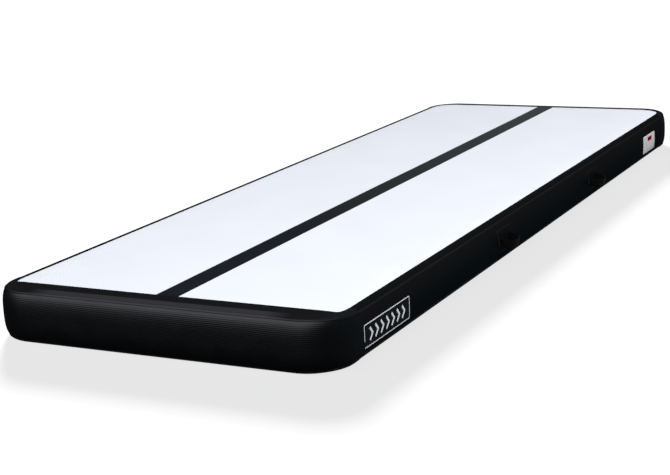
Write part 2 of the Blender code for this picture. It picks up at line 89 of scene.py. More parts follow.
NEAR_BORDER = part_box("near_border_strip")[1].y + HALF_LENGTH
SIDE_BORDER = HALF_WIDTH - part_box("top_tape_right")[0].x

# The left and far top tapes are drawn wider onto the panel than their CAD sheets, for a darker edge line.
LEFT_BORDER = SIDE_BORDER + 0.005
FAR_BORDER = 0.054

# Shape of the plan corners and of the bowed wall, as in the frame.
CORNER_RADIUS = 0.117
SHOULDER_POWER = 2.8

# Sheets, and the small lift that keeps one above the next.
WALL_SHEET = 0.0010
TAPE_SHEET = 0.0009
PRINT_SHEET = 0.0004
LIFT = 0.0002

RIB_PITCH = 0.0044
RIB_DEPTH = 0.00014
BULGE = 0.0006


# The skin of the mat


def section_table():
    """The wall's section from shoulder to shoulder: arc length, outward distance, height and normal."""
    angles = math.pi / 2 * np.cos(np.linspace(0, math.pi, 4001))
    cosine, sine = np.abs(np.cos(angles)), np.sin(angles)
    outward = SHOULDER * (cosine ** (2 / SHOULDER_POWER) - 1)
    height = MID_Z + WALL_HALF * np.sign(sine) * np.abs(sine) ** (2 / SHOULDER_POWER)
    bend = 2 - 2 / SHOULDER_POWER
    normal = np.stack((cosine**bend / SHOULDER, np.sign(sine) * np.abs(sine) ** bend / WALL_HALF))
    normal /= np.linalg.norm(normal, axis=0)
    steps = np.hypot(np.diff(outward), np.diff(height))
    return np.concatenate(([0.0], np.cumsum(steps))), outward, height, normal, np.degrees(angles)


SECTION = section_table()
WALL_SPAN = SECTION[0][-1]


def v_at_angle(degrees):
    return float(np.interp(-degrees, -SECTION[4], SECTION[0]))


def v_at_height(z):
    return float(np.interp(-z, -SECTION[2], SECTION[0]))


def section(v, lift):
    """(outward, height) at v, moved lift along the skin's normal. Beyond the wall the skin is flat."""
    arc, outward, height, normal, _ = SECTION
    inside = np.clip(v, 0, WALL_SPAN)
    flat = np.minimum(v, 0) - np.maximum(v - WALL_SPAN, 0)
    out = np.interp(inside, arc, outward) + flat + lift * np.interp(inside, arc, normal[0])
    return out, np.interp(inside, arc, height) + lift * np.interp(inside, arc, normal[1])


def drift(x, y, depth, length):
    """A slow, seeded undulation made of a few crossing sines."""
    rng = np.random.default_rng(7)
    total = np.zeros(np.broadcast(x, y).shape)
    for _ in range(6):
        heading, phase = rng.uniform(0, 2 * math.pi, 2)
        wave_length = length * rng.uniform(0.5, 1.6)
        total += np.sin(2 * math.pi * (x * math.cos(heading) + y * math.sin(heading)) / wave_length + phase)
    return depth * total / 6


FLAT_X = HALF_WIDTH - CORNER_RADIUS
FLAT_Y = HALF_LENGTH - CORNER_RADIUS
ARC = math.pi * CORNER_RADIUS / 2
OUTLINE_S = np.cumsum([-FLAT_X, 2 * FLAT_X, ARC, 2 * FLAT_Y, ARC, 2 * FLAT_X, ARC, 2 * FLAT_Y, ARC])
OUTLINE_TURN = np.radians([-90, -90, 0, 0, 90, 90, 180, 180, 270])
OUTLINE_X = np.array([-1, 1, 1, 1, 1, -1, -1, -1, -1]) * FLAT_X
OUTLINE_Y = np.array([-1, -1, -1, 1, 1, 1, 1, -1, -1]) * FLAT_Y
PERIMETER = OUTLINE_S[-1] - OUTLINE_S[0]
RIGHT_MIDDLE = FLAT_X + ARC + FLAT_Y
FAR_MIDDLE = PERIMETER / 2
LEFT_MIDDLE = PERIMETER - RIGHT_MIDDLE


def skin(s, v, lift=0.0):
    """Points on the mat's skin, as an array whose last axis is x, y, z. The wall is never quite even."""
    s, v, lift = np.broadcast_arrays(s, v, lift)
    wrapped = (s - OUTLINE_S[0]) % PERIMETER + OUTLINE_S[0]
    turn = np.interp(wrapped, OUTLINE_S, OUTLINE_TURN)
    x = np.interp(wrapped, OUTLINE_S, OUTLINE_X)
    y = np.interp(wrapped, OUTLINE_S, OUTLINE_Y)
    middle = np.sin(np.clip(v / WALL_SPAN, 0, 1) * math.pi)
    uneven = middle * drift(x + 0.1 * np.cos(turn), y + 0.1 * np.sin(turn), BULGE, 0.35)
    outward, height = section(v, lift + uneven)
    reach = CORNER_RADIUS + outward
    return np.stack((x + reach * np.cos(turn), y + reach * np.sin(turn), height), axis=-1)


def graded(first, last, step, edge):
    """Grid values from first to last, with the fine steps that a round edge of that width needs."""
    turn = np.radians((0, 25, 50, 75))
    rise = edge * (1 - np.cos(turn))
    count = max(2, round((last - first - 2 * edge) / step))
    middle = np.linspace(first + edge, last - edge, count + 1)
    return np.concatenate((first + rise, middle, last - rise[::-1]))


def round_edge(values, width):
    """1 inside a sheet, falling to 0 at both ends of its grid values in a quarter circle."""
    share = np.clip(np.minimum(values - values[0], values[-1] - values) / width, 0, 1)
    return np.sqrt(1 - (1 - share) ** 2)


def smooth_step(x, low, high):
    t = np.clip((x - low) / (high - low), 0, 1)
    return t * t * (3 - 2 * t)


SIDE_TAPE_ANGLE = 48
# Middle of the painted highlight along a side tape's lower edge.
BEAD_HIGHLIGHT_LINE = v_at_angle(SIDE_TAPE_ANGLE) - 0.0025


# Meshes


def new_piece(name, verts, faces, uvs, material, sharp=40):
    """A smooth-shaded mesh object. uvs holds one (u, v) in metres for each face corner."""
    mesh = bpy.data.meshes.new(name)
    mesh.from_pydata(verts, [], faces)
    layer = mesh.uv_layers.new(name="sheet")
    layer.data.foreach_set("uv", np.asarray(uvs, np.float32).ravel())
    mesh.materials.append(material)
    turn_faces_out(mesh)
    mesh.shade_smooth()
    mesh.set_sharp_from_angle(angle=math.radians(sharp))
    piece = bpy.data.objects.new(name, mesh)
    bpy.context.scene.collection.objects.link(piece)
    return piece


def turn_faces_out(mesh):
    shape = bmesh.new()
    shape.from_mesh(mesh)
    bmesh.ops.remove_doubles(shape, verts=shape.verts, dist=1e-7)
    bmesh.ops.recalc_face_normals(shape, faces=shape.faces)
    shape.to_mesh(mesh)
    shape.free()


def quads(index):
    """The faces of a grid of vertex numbers, each a row of four."""
    a, b, c, d = index[:-1, :-1], index[1:, :-1], index[1:, 1:], index[:-1, 1:]
    return np.stack((a, b, c, d), axis=-1).reshape(-1, 4)


def closed_grid(name, outer, inner, u, v, material):
    """A closed sheet from two grids of points that share their border, facing out on the outer one."""
    rows, columns = outer.shape[:2]
    top = np.arange(rows * columns).reshape(rows, columns)
    under = top.copy()
    under[1:-1, 1:-1] = rows * columns + np.arange((rows - 2) * (columns - 2)).reshape(rows - 2, -1)
    verts = np.concatenate((outer.reshape(-1, 3), inner[1:-1, 1:-1].reshape(-1, 3)))
    uv = np.stack(np.broadcast_arrays(u, v), axis=-1).reshape(-1, 2)
    corner_uv = uv[quads(top)]
    faces = np.concatenate((quads(top), quads(under)[:, ::-1]))
    corners = np.concatenate((corner_uv, corner_uv[:, ::-1]))
    return new_piece(name, verts.tolist(), faces.tolist(), corners, material)


def tube_parts(rings, closed=False):
    """Vertices, faces and corner UVs of a tube through rings of points, with flat ends unless closed."""
    stations, around = rings.shape[:2]
    index = np.arange(stations * around).reshape(stations, around)
    grid = np.concatenate((index, index[:, :1]), axis=1)
    centres = rings.mean(axis=1)
    steps = np.linalg.norm(np.roll(centres, -1, axis=0) - centres, axis=1)
    along = np.concatenate(([0.0], np.cumsum(steps[:-1])))
    if closed:
        grid = np.concatenate((grid, grid[:1]))
        along = np.append(along, along[-1] + steps[-1])
    widest = rings[np.argmax(np.ptp(rings, axis=1).sum(axis=1))]
    girth = np.linalg.norm(np.roll(widest, -1, axis=0) - widest, axis=1)
    round_v = np.concatenate(([0.0], np.cumsum(girth)))
    uv = np.stack(np.meshgrid(along, round_v, indexing="ij"), axis=-1).reshape(-1, 2)
    corners = uv[quads(np.arange(grid.size).reshape(grid.shape))].reshape(-1, 2).tolist()
    faces = quads(grid).tolist()
    if not closed:
        faces += [index[0, ::-1].tolist(), index[-1].tolist()]
        corners += [[0.0, 0.0]] * (2 * around)
    return rings.reshape(-1, 3).tolist(), faces, corners


def merged(parts):
    """Several closed parts as one set of vertices, faces and corner UVs."""
    verts, faces, corners = [], [], []
    for part_verts, part_faces, part_corners in parts:
        faces += [[number + len(verts) for number in face] for face in part_faces]
        verts += part_verts
        corners += part_corners
    return verts, faces, corners


def placed_tube(name, rings, pivot, material, closed=False):
    """A tube whose rings' x, y and z are given in the pivot's axes."""
    turn = np.array(pivot.to_3x3()).T
    points = np.stack(np.broadcast_arrays(*rings), axis=-1) @ turn + np.array(pivot.translation)
    return new_piece(name, *tube_parts(points, closed), material)


def lathe(name, profile, pivot, material, steps=96, flute=None):
    """A closed profile of (radius, height) turned about the pivot's Z.

    flute(radii, turns, height), if given, returns the radii with their flutes.
    """
    turns = np.linspace(0, 2 * math.pi, steps, endpoint=False)
    radius, height = np.array(profile).T
    radii = np.outer(np.ones(steps), radius)
    if flute is not None:
        radii = flute(radii, turns[:, None], height)
    heights = np.outer(np.ones(steps), height)
    turned = (radii * np.cos(turns)[:, None], radii * np.sin(turns)[:, None], heights)
    return placed_tube(name, turned, pivot, material, closed=True)


def side_steps(path, closed):
    """For each point of a path, the sideways step that keeps a ribbon's width even round its bends."""
    ahead = np.roll(path, -1, axis=0) - path
    if not closed:
        ahead[-1] = ahead[-2]
    ahead /= np.linalg.norm(ahead, axis=1, keepdims=True)
    behind = np.roll(ahead, 1, axis=0)
    if not closed:
        behind[0] = ahead[0]
    bisector = ahead + behind
    normal = np.stack((-bisector[:, 1], bisector[:, 0]), axis=1)
    normal /= np.linalg.norm(normal, axis=1, keepdims=True)
    cosine = normal[:, 1] * ahead[:, 0] - normal[:, 0] * ahead[:, 1]
    return normal / cosine[:, None]


def skin_line(path, section, lift, closed=False, taper=None):
    """A line laid on the skin: path holds (s, v), section holds (across, up), taper scales each station."""
    path = np.asarray(path, float)
    section = np.asarray(section, float)
    taper = np.ones(len(path)) if taper is None else np.asarray(taper, float)
    side = side_steps(path, closed)
    across = np.outer(taper, section[:, 0])
    s = path[:, :1] + side[:, :1] * across
    v = path[:, 1:] + side[:, 1:] * across
    return tube_parts(skin(s, v, lift + np.outer(taper, section[:, 1])), closed)


def resample(path, step):
    """The same path with points about step apart."""
    path = np.asarray(path, float)
    run = np.concatenate(([0.0], np.cumsum(np.linalg.norm(np.diff(path, axis=0), axis=1))))
    stations = np.linspace(0, run[-1], max(2, round(run[-1] / step) + 1))
    stations = np.unique(np.round(np.concatenate((stations, run)), 7))
    return np.stack([np.interp(stations, run, column) for column in path.T], axis=1)


def mount(piece, body, slot, *nodes):
    """Put a finished piece on its body, in place of these CAD nodes."""
    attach(piece, body)
    if nodes:
        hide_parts(*nodes)
    return piece


# Materials


def add_node(tree, kind, inputs=None, **settings):
    node = tree.nodes.new(kind)
    for key, value in settings.items():
        setattr(node, key, value)
    for key, value in (inputs or {}).items():
        if isinstance(value, bpy.types.NodeSocket):
            tree.links.new(value, node.inputs[key])
        else:
            node.inputs[key].default_value = value
    return node


class Surface:
    """One procedural material: a Principled shader and the patterns that drive it."""

    def __init__(self, name, colour, roughness, specular=0.5, metallic=0.0, sheet=True):
        self.material = bpy.data.materials.new(name)
        self.material.use_nodes = True
        self.tree = self.material.node_tree
        self.shader = self.tree.nodes["Principled BSDF"]
        self.shader.inputs["Base Color"].default_value = (*colour, 1)
        self.shader.inputs["Roughness"].default_value = roughness
        self.shader.inputs["Specular IOR Level"].default_value = specular
        self.shader.inputs["Metallic"].default_value = metallic
        self.roughness = roughness
        self.height = None
        if sheet:
            source = add_node(self.tree, "ShaderNodeUVMap", uv_map="sheet")
            self.place = source.outputs["UV"]
        else:
            self.place = add_node(self.tree, "ShaderNodeTexCoord").outputs["Object"]
        split = add_node(self.tree, "ShaderNodeSeparateXYZ", {"Vector": self.place})
        self.along, self.across = split.outputs["X"], split.outputs["Y"]

    def calc(self, operation, a, b=0.0):
        return add_node(self.tree, "ShaderNodeMath", {0: a, 1: b}, operation=operation).outputs[0]

    def noise(self, size, detail):
        """Cloudy noise from 0 to 1 whose largest features are about size metres across."""
        inputs = {"Vector": self.place, "Scale": 1 / size, "Detail": detail}
        return add_node(self.tree, "ShaderNodeTexNoise", inputs).outputs["Fac"]

    def grain(self, size):
        """Leather-like cells, as pressed into coated sheet."""
        inputs = {"Vector": self.place, "Scale": 1 / size, "Randomness": 0.9}
        return add_node(self.tree, "ShaderNodeTexVoronoi", inputs, feature="SMOOTH_F1").outputs["Distance"]

    def wave(self, source, pitch, phase=0.0):
        """A sine from 0 to 1 along one coordinate."""
        turned = self.calc("MULTIPLY", source, 2 * math.pi / pitch)
        sine = self.calc("SINE", self.calc("ADD", turned, phase))
        return self.calc("ADD", self.calc("MULTIPLY", sine, 0.5), 0.5)

    def weave(self, pitch):
        """Over-and-under yarns in two directions, from 0 to 1."""
        warp, weft = self.wave(self.along, pitch), self.wave(self.across, pitch)
        return self.calc("ABSOLUTE", self.calc("SUBTRACT", warp, weft))

    def span(self, source, low, high, start=0.0, end=1.0):
        """source rescaled so that low to high gives start to end, and held there beyond them."""
        inputs = {"Value": source, "From Min": low, "From Max": high, "To Min": start, "To Max": end}
        return add_node(self.tree, "ShaderNodeMapRange", inputs).outputs["Result"]

    def tint(self, share, colour):
        """Mix another colour over what is there, by a share from 0 to 1."""
        base = self.shader.inputs["Base Color"]
        mix = add_node(self.tree, "ShaderNodeMix", {0: share}, data_type="RGBA")
        below, above, mixed = mix.inputs[6], mix.inputs[7], mix.outputs[2]
        above.default_value = (*colour, 1)
        if base.links:
            self.tree.links.new(base.links[0].from_socket, below)
        else:
            below.default_value = base.default_value[:]
        self.tree.links.new(mixed, base)

    def mottle(self, size, detail, low, high, share, colour):
        """Cloudy patches of a colour: none where the noise is under low, share where it is over high."""
        self.tint(self.span(self.noise(size, detail), low, high, 0.0, share), colour)

    def roughen(self, source, amount):
        """Let the roughness swing by amount either side of its value as source goes from 0 to 1."""
        value = self.span(source, 0.25, 0.75, self.roughness - amount, self.roughness + amount)
        self.tree.links.new(value, self.shader.inputs["Roughness"])

    def raise_by(self, source, depth):
        """Add a relief of that depth in metres to the bump."""
        step = self.calc("MULTIPLY", source, depth)
        self.height = step if self.height is None else self.calc("ADD", self.height, step)

    def done(self, strength=1.0):
        if self.height is not None:
            inputs = {"Height": self.height, "Distance": 1.0, "Strength": strength}
            bump = add_node(self.tree, "ShaderNodeBump", inputs)
            self.tree.links.new(bump.outputs["Normal"], self.shader.inputs["Normal"])
        return self.material


def white_sheet():
    """Coated white top: fine pressed grain, faint drop-stitch dimples and a little handling grey."""
    surface = Surface("white_pvc_sheet", (0.87, 0.90, 0.95), 0.50, 0.35)
    surface.mottle(0.55, 5, 0.40, 0.75, 0.35, (0.84, 0.88, 0.94))
    surface.mottle(0.004, 2, 0.55, 0.80, 0.10, (0.76, 0.79, 0.86))
    surface.roughen(surface.noise(0.20, 6), 0.06)
    surface.raise_by(surface.grain(0.0018), 0.00004)
    rows, columns = surface.wave(surface.along, 0.010), surface.wave(surface.across, 0.010)
    surface.raise_by(surface.calc("MULTIPLY", rows, columns), 0.00003)
    return surface.done()


def shades(colour, *factors):
    """A colour made lighter or darker by each factor."""
    return [tuple(factor * channel for channel in colour) for factor in factors]


def black_sheet(name, colour, roughness, specular):
    """Coated black fabric: the woven base shows faintly through a satin coat, with dusty wear."""
    surface = Surface(name, colour, roughness, specular)
    dust, scuff = shades(colour, 1.5, 2.4)
    surface.mottle(0.035, 6, 0.50, 0.80, 0.50, dust)
    surface.mottle(0.0016, 2, 0.62, 0.80, 0.25, scuff)
    surface.roughen(surface.noise(0.09, 5), 0.06)
    surface.raise_by(surface.weave(0.0016), 0.000025)
    surface.raise_by(surface.noise(0.0009, 3), 0.00003)
    return surface


def paint_tape_edge_light(surface, colour):
    """Painted light on a side tape: a painted highlight along its welded lower edge, and painted shade along
    its inner edge on the panel.
    """
    inner = SHOULDER - SIDE_BORDER
    # Painted shade along the tape's inner edge, where it meets the panel.
    inner_edge_shade = surface.span(surface.across, inner + 0.001, inner + 0.005, 0.9, 0.0)
    surface.tint(inner_edge_shade, (0.0008, 0.0008, 0.0010))
    # Painted highlight along the welded lower edge, on the top tapes and on the bottom ones.
    for middle in (BEAD_HIGHLIGHT_LINE, WALL_SPAN - BEAD_HIGHLIGHT_LINE):
        away = surface.calc("ABSOLUTE", surface.calc("SUBTRACT", surface.across, middle))
        surface.tint(surface.span(away, 0.0020, 0.0045, 0.9, 0.0), colour)


def paint_upper_wall_light(surface, colour):
    """Painted light: towards the top of the wall its cold black is painted over with a lighter neutral black,
    where more light falls.
    """
    surface.tint(surface.span(surface.across, 0.30 * WALL_SPAN, 0.62 * WALL_SPAN, 1.0, 0.0), colour)


# Painted light: the colour of the rib crests on the corner wraps, painted lighter as if lit from the side.
LIT_WRAP_CREST = (0.016, 0.021, 0.024)


def end_run(surface):
    """Distance round the outline from the middle of the nearest end."""
    from_near = surface.calc("ABSOLUTE", surface.along)
    from_far = surface.calc("ABSOLUTE", surface.calc("SUBTRACT", surface.along, FAR_MIDDLE))
    return surface.calc("MINIMUM", from_near, from_far)


def ribbed_sheet(name, colour, roughness, specular, crest):
    """Black coated fabric whose fine ribs run round the wall; fine cross yarns bridge the ribs."""
    surface = Surface(name, colour, roughness, specular)
    dust = shades(colour, 1.8)[0]
    surface.mottle(0.05, 6, 0.45, 0.80, 0.50, dust)
    crests = surface.span(surface.wave(surface.across, RIB_PITCH, math.pi / 2), 0.55, 1.0, 0.0, 0.8)
    surface.tint(crests, crest)
    # Painted light on the corner wraps: their rib crests are painted lighter.
    wraps = surface.span(end_run(surface), FLAT_X + 0.5 * ARC, FLAT_X + ARC)
    surface.tint(surface.calc("MULTIPLY", crests, wraps), LIT_WRAP_CREST)
    surface.roughen(surface.noise(0.07, 6), 0.06)
    surface.raise_by(surface.wave(surface.along, 0.0022), 0.00002)
    surface.raise_by(surface.noise(0.0010, 3), 0.00003)
    return surface


def paint_end_tape_light(surface, colour):
    """Painted light: a lighter band painted along the straight of both ends, fading out where the tape turns
    the corners.
    """
    surface.tint(surface.span(end_run(surface), FLAT_X - 0.075, FLAT_X - 0.010, 0.9, 0.0), colour)


def stripe_print():
    surface = Surface("navy_stripe_print", (0.0042, 0.0050, 0.0105), 0.50, 0.16)
    surface.mottle(0.06, 6, 0.45, 0.80, 0.40, (0.008, 0.010, 0.017))
    surface.mottle(0.0030, 3, 0.60, 0.85, 0.30, (0.022, 0.027, 0.038))
    # Painted reflection: the print is painted lighter and greener towards the far end, standing in for the
    # bright background glancing off it.
    far_reflection_share = surface.span(surface.across, -HALF_LENGTH / 2, HALF_LENGTH, 0.0, 0.75)
    surface.tint(far_reflection_share, (0.052, 0.064, 0.060))
    surface.shader.inputs["Sheen Weight"].default_value = 0.03
    surface.roughen(surface.noise(0.12, 5), 0.08)
    surface.raise_by(surface.grain(0.0018), 0.00004)
    return surface.done()


def webbing_cloth():
    """Woven handle webbing: a fine diagonal twill across a ribbed band."""
    surface = Surface("handle_webbing", (0.0016, 0.0018, 0.0014), 0.80, 0.15)
    surface.shader.inputs["Sheen Weight"].default_value = 0.03
    slant = surface.calc("ADD", surface.along, surface.across)
    yarns = surface.calc("MULTIPLY", surface.wave(slant, 0.0028), surface.wave(surface.across, 0.0014))
    surface.tint(surface.span(yarns, 0.45, 0.95, 0.0, 0.60), (0.0060, 0.0064, 0.0050))
    surface.mottle(0.012, 4, 0.50, 0.80, 0.30, (0.0050, 0.0054, 0.0042))
    surface.roughen(surface.noise(0.006, 3), 0.08)
    surface.raise_by(yarns, 0.00030)
    surface.raise_by(surface.wave(surface.along, 0.0028), 0.00012)
    return surface.done()


def printed_film(name, colour, stain, roughness=0.45):
    surface = Surface(name, colour, roughness, 0.40)
    surface.mottle(0.030, 6, 0.45, 0.80, 0.40, stain)
    surface.roughen(surface.noise(0.020, 4), 0.08)
    surface.raise_by(surface.noise(0.0008, 3), 0.00003)
    return surface.done()


def moulded_plastic(name, colour, sheet=True):
    surface = Surface(name, colour, 0.42, 0.45, sheet=sheet)
    surface.mottle(0.008, 5, 0.50, 0.80, 0.35, shades(colour, 2.2)[0])
    surface.roughen(surface.noise(0.004, 4), 0.10)
    surface.raise_by(surface.noise(0.0005, 3), 0.00003)
    return surface.done()


def soft_rubber(name, colour, sheet=True):
    surface = Surface(name, colour, 0.70, 0.30, sheet=sheet)
    surface.mottle(0.006, 5, 0.50, 0.85, 0.45, shades(colour, 2.5)[0])
    surface.roughen(surface.noise(0.003, 3), 0.10)
    surface.raise_by(surface.noise(0.0007, 4), 0.00005)
    return surface.done()


def spring_steel():
    surface = Surface("spring_steel_wire", (0.58, 0.58, 0.60), 0.28, 0.5, metallic=1.0)
    surface.mottle(0.002, 4, 0.50, 0.85, 0.60, (0.30, 0.29, 0.28))
    surface.roughen(surface.noise(0.001, 3), 0.10)
    surface.raise_by(surface.noise(0.0003, 2), 0.00001)
    return surface.done()


def stitch_yarn(name="polyester_yarn", colour=(0.66, 0.66, 0.62)):
    """Twisted yarn: short slanted plies round the thread."""
    surface = Surface(name, colour, 0.75, 0.25, sheet=False)
    slant = surface.calc("ADD", surface.along, surface.across)
    plies = surface.wave(surface.calc("ADD", slant, slant), 0.0009)
    surface.tint(surface.span(plies, 0.0, 0.7, 0.45, 0.0), shades(colour, 0.45)[0])
    surface.roughen(surface.noise(0.002, 3), 0.08)
    surface.raise_by(plies, 0.00010)
    return surface.done()


WHITE = white_sheet()
WALL_BLACK = black_sheet("black_pvc_sheet", (0.0014, 0.0042, 0.0058), 0.36, 0.40)
# Painted light: a lighter neutral black painted over the top of the side walls.
paint_upper_wall_light(WALL_BLACK, (0.0066, 0.0067, 0.0080))
BLACK = WALL_BLACK.done()
UNDERSIDE = black_sheet("underside_pvc_sheet", (0.0070, 0.0080, 0.0095), 0.50, 0.40).done()
BORDER = black_sheet("border_strip_sheet", (0.0070, 0.0070, 0.0085), 0.34, 0.25).done()
SEAM = black_sheet("seam_tape_sheet", (0.0042, 0.0045, 0.0052), 0.40, 0.35)
# Painted highlight along the side tapes' lower edges, painted shade along their inner edges.
paint_tape_edge_light(SEAM, (0.013, 0.0135, 0.015))
SEAM_TAPE = SEAM.done()
# Painted highlight: a lighter line for the handle patches' edges catching the light.
PATCH_EDGE_HIGHLIGHT = black_sheet("patch_rim_sheet", (0.018, 0.020, 0.022), 0.45, 0.40).done()
END_WALL = ribbed_sheet("ribbed_pvc_sheet", (0.0014, 0.0019, 0.0024), 0.33, 0.62, (0.0050, 0.0058, 0.0070))
RIBBED = END_WALL.done()
END_TAPE = ribbed_sheet("ribbed_tape_sheet", (0.0030, 0.0032, 0.0038), 0.45, 0.40, (0.012, 0.013, 0.015))
# Painted light along the end tapes' straights.
paint_end_tape_light(END_TAPE, (0.030, 0.029, 0.034))
RIBBED_TAPE = END_TAPE.done()
STRIPE = stripe_print()
WEBBING = webbing_cloth()
LABEL = printed_film("label_film", (0.90, 0.91, 0.92), (0.82, 0.84, 0.86))
LABEL_RED = printed_film("label_red_ink", (0.24, 0.006, 0.007), (0.28, 0.018, 0.018))
LABEL_GREY = printed_film("label_grey_ink", (0.60, 0.62, 0.64), (0.70, 0.72, 0.74))
BADGE = printed_film("badge_film", (0.0065, 0.0110, 0.0145), (0.012, 0.020, 0.026), 0.40)
BADGE_INK = printed_film("badge_white_ink", (0.86, 0.87, 0.88), (0.66, 0.68, 0.70))
VALVE = moulded_plastic("valve_moulding", (0.014, 0.014, 0.016))
CAP = moulded_plastic("cap_moulding", (0.045, 0.047, 0.052))
RUBBER = soft_rubber("soft_rubber", (0.011, 0.011, 0.011))
INNER_RUBBER = soft_rubber("inner_rubber", (0.014, 0.014, 0.014), sheet=False)
INNER_PLASTIC = moulded_plastic("inner_moulding", (0.018, 0.018, 0.020), sheet=False)
CAP_FLAT = moulded_plastic("cap_flat_moulding", (0.045, 0.047, 0.052), sheet=False)
BLACK_FLAT = moulded_plastic("black_flat_sheet", (0.0085, 0.0090, 0.0110), sheet=False)
STEEL = spring_steel()
YARN = stitch_yarn()
BLACK_YARN = stitch_yarn("black_stitching", (0.022, 0.023, 0.021))


# The chamber's sheets

PANEL_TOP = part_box("top_panel")[1].z
PANEL_SHEET = PANEL_TOP - (MID_Z + WALL_HALF)
PANEL_THICKNESS = 0.0012
CROWN = 0.0015
CROWN_START, CROWN_END = 0.020, 0.060


def plan_inset(x, y):
    """Distance in from the wall's fullest line, in plan."""
    across, along = np.abs(x) - FLAT_X, np.abs(y) - FLAT_Y
    outside = np.hypot(np.maximum(across, 0), np.maximum(along, 0))
    return CORNER_RADIUS - outside - np.minimum(np.maximum(across, along), 0)


def crown(inset):
    """How much the pressure lifts the flat panel once it is clear of the shoulder."""
    return CROWN * smooth_step(inset, CROWN_START, CROWN_END)


def panel_height(x, y):
    """The top panel's outer face."""
    inset = plan_inset(x, y)
    return PANEL_TOP + crown(inset) + drift(x, y, 0.0006, 0.5) * smooth_step(inset, 0.04, 0.12)


def close_border(sheet, face):
    """Bring a sheet's other face to meet this one along the border."""
    sheet[[0, -1]] = face[[0, -1]]
    sheet[:, [0, -1]] = face[:, [0, -1]]
    return sheet


def panel_grid(inset, step):
    """x and y of a grid that fills the mat's plan outline, drawn in by inset."""
    radius = CORNER_RADIUS - inset
    far = np.linspace(0, FLAT_Y, round(FLAT_Y / step) + 1)
    bend = FLAT_Y + radius * np.sin(np.radians(np.linspace(4, 90, 16)))
    y = np.concatenate((far, bend))
    y = np.concatenate((-y[:0:-1], y))
    half = FLAT_X + np.sqrt(np.maximum(radius**2 - np.maximum(np.abs(y) - FLAT_Y, 0) ** 2, 0))
    share = np.linspace(-1, 1, round(2 * HALF_WIDTH / step) + 1)
    return np.outer(half, share), np.broadcast_to(y[:, None], (len(y), len(share)))


def make_panels():
    inset = HALF_WIDTH - PANEL_HALF_WIDTH
    x, y = panel_grid(inset, 0.018)
    upper = np.stack((x, y, panel_height(x, y)), axis=-1)
    lower = close_border(np.stack((x, y, panel_height(x, y) - PANEL_THICKNESS), axis=-1), upper)
    top = closed_grid("top_panel_sheet", upper, lower, x, y, WHITE)
    mount(top, "mat", "white_pvc", "top_panel")

    x, y = panel_grid(inset, 0.030)
    rim = MID_Z - WALL_HALF - PANEL_SHEET
    level = rim + (LIFT - rim) * smooth_step(plan_inset(x, y), 0.0305, 0.0325)
    lower = np.stack((x, y, level), axis=-1)
    upper = close_border(np.stack((x, y, level + PANEL_THICKNESS), axis=-1), lower)
    bottom = closed_grid("bottom_panel_sheet", lower, upper, x, y, UNDERSIDE)
    mount(bottom, "mat", "black_pvc", "bottom_panel")


def skin_sheet(name, rows, columns, material, thickness, lift, warp=None, relief=None):
    """A closed sheet with round edges, on the skin over a grid of s (rows) and v (columns)."""
    s, v = np.broadcast_arrays(rows[:, None], columns[None, :])
    if warp is not None:
        s, v = warp(s, v)
    body = np.outer(round_edge(rows, thickness), round_edge(columns, thickness))
    low = lift(s, v) if callable(lift) else np.full(s.shape, lift)
    high = low + thickness * body
    if relief is not None:
        high = high + relief(s, v) * body
    return closed_grid(name, skin(s, v, high), skin(s, v, low), s, v, material)


WRAP_SLANT = 0.27
END_REACH = FLAT_X + ARC + WRAP - CORNER_RADIUS - 0.009
WALL_FLANGE = 0.010


def end_rows(reach):
    """s values round one end of the mat, finer in the corners, from -reach to reach."""
    middle = np.linspace(0, FLAT_X, 32)[:-1]
    corner = np.linspace(FLAT_X, FLAT_X + ARC, 30)[:-1]
    tail = graded(FLAT_X + ARC, reach, 0.006, TAPE_SHEET)[4:]
    half = np.concatenate((middle, corner, tail))
    return np.concatenate((-half[:0:-1], half))


def slanted(s, v):
    """End strips are cut on a slant, so that their lower edges reach further along the side."""
    return s + np.sign(s) * WRAP_SLANT * v * smooth_step(np.abs(s), FLAT_X + ARC / 2, END_REACH)


def clear_of_flanges(v):
    """1 on the wall's bowed face, falling to 0 at its flanges, which lie under the panels."""
    return smooth_step(np.minimum(v, WALL_SPAN - v), 0.0, 0.010)


def ribs(s, v):
    return RIB_DEPTH * np.cos(2 * math.pi * v / RIB_PITCH) * clear_of_flanges(v - 0.004)


def make_walls():
    rows = end_rows(END_REACH)
    columns = graded(-WALL_FLANGE, WALL_SPAN + WALL_FLANGE, RIB_PITCH / 6, WALL_SHEET)
    for name, middle in (("near", 0.0), ("far", FAR_MIDDLE)):
        wall = skin_sheet(
            f"ribbed_wall_{name}",
            rows,
            columns,
            RIBBED,
            WALL_SHEET,
            lambda s, v: LIFT - (WALL_SHEET + LIFT) * (1 - clear_of_flanges(v)),
            warp=lambda s, v, middle=middle: (slanted(s, v) + middle, v),
            relief=ribs,
        )
        mount(wall, "mat", "ribbed_pvc", f"end_wall_{name}")
    reach = FLAT_Y + 0.005
    columns = graded(-WALL_FLANGE, WALL_SPAN + WALL_FLANGE, 0.0035, WALL_SHEET)
    for name, middle in (("right", RIGHT_MIDDLE), ("left", LEFT_MIDDLE)):
        rows = middle + graded(-reach, reach, 0.020, WALL_SHEET)
        wall = skin_sheet(f"smooth_wall_{name}", rows, columns, BLACK, WALL_SHEET, -WALL_SHEET)
        mount(wall, "mat", "black_pvc", f"side_wall_{name}")


# Seam tapes, border strip and stripe

NEAR_TAPE_BORDER = 0.046
BOTTOM_BORDER = 0.030
BORDER_SHEET = 0.0005
END_TAPE_ANGLE = 70
TAPE_BEAD = 0.0008
BEAD_WIDTH = 0.007


def tape_ribs(s, v):
    """The ribs of the end tapes run along them too."""
    return 0.6 * RIB_DEPTH * np.cos(2 * math.pi * v / RIB_PITCH)


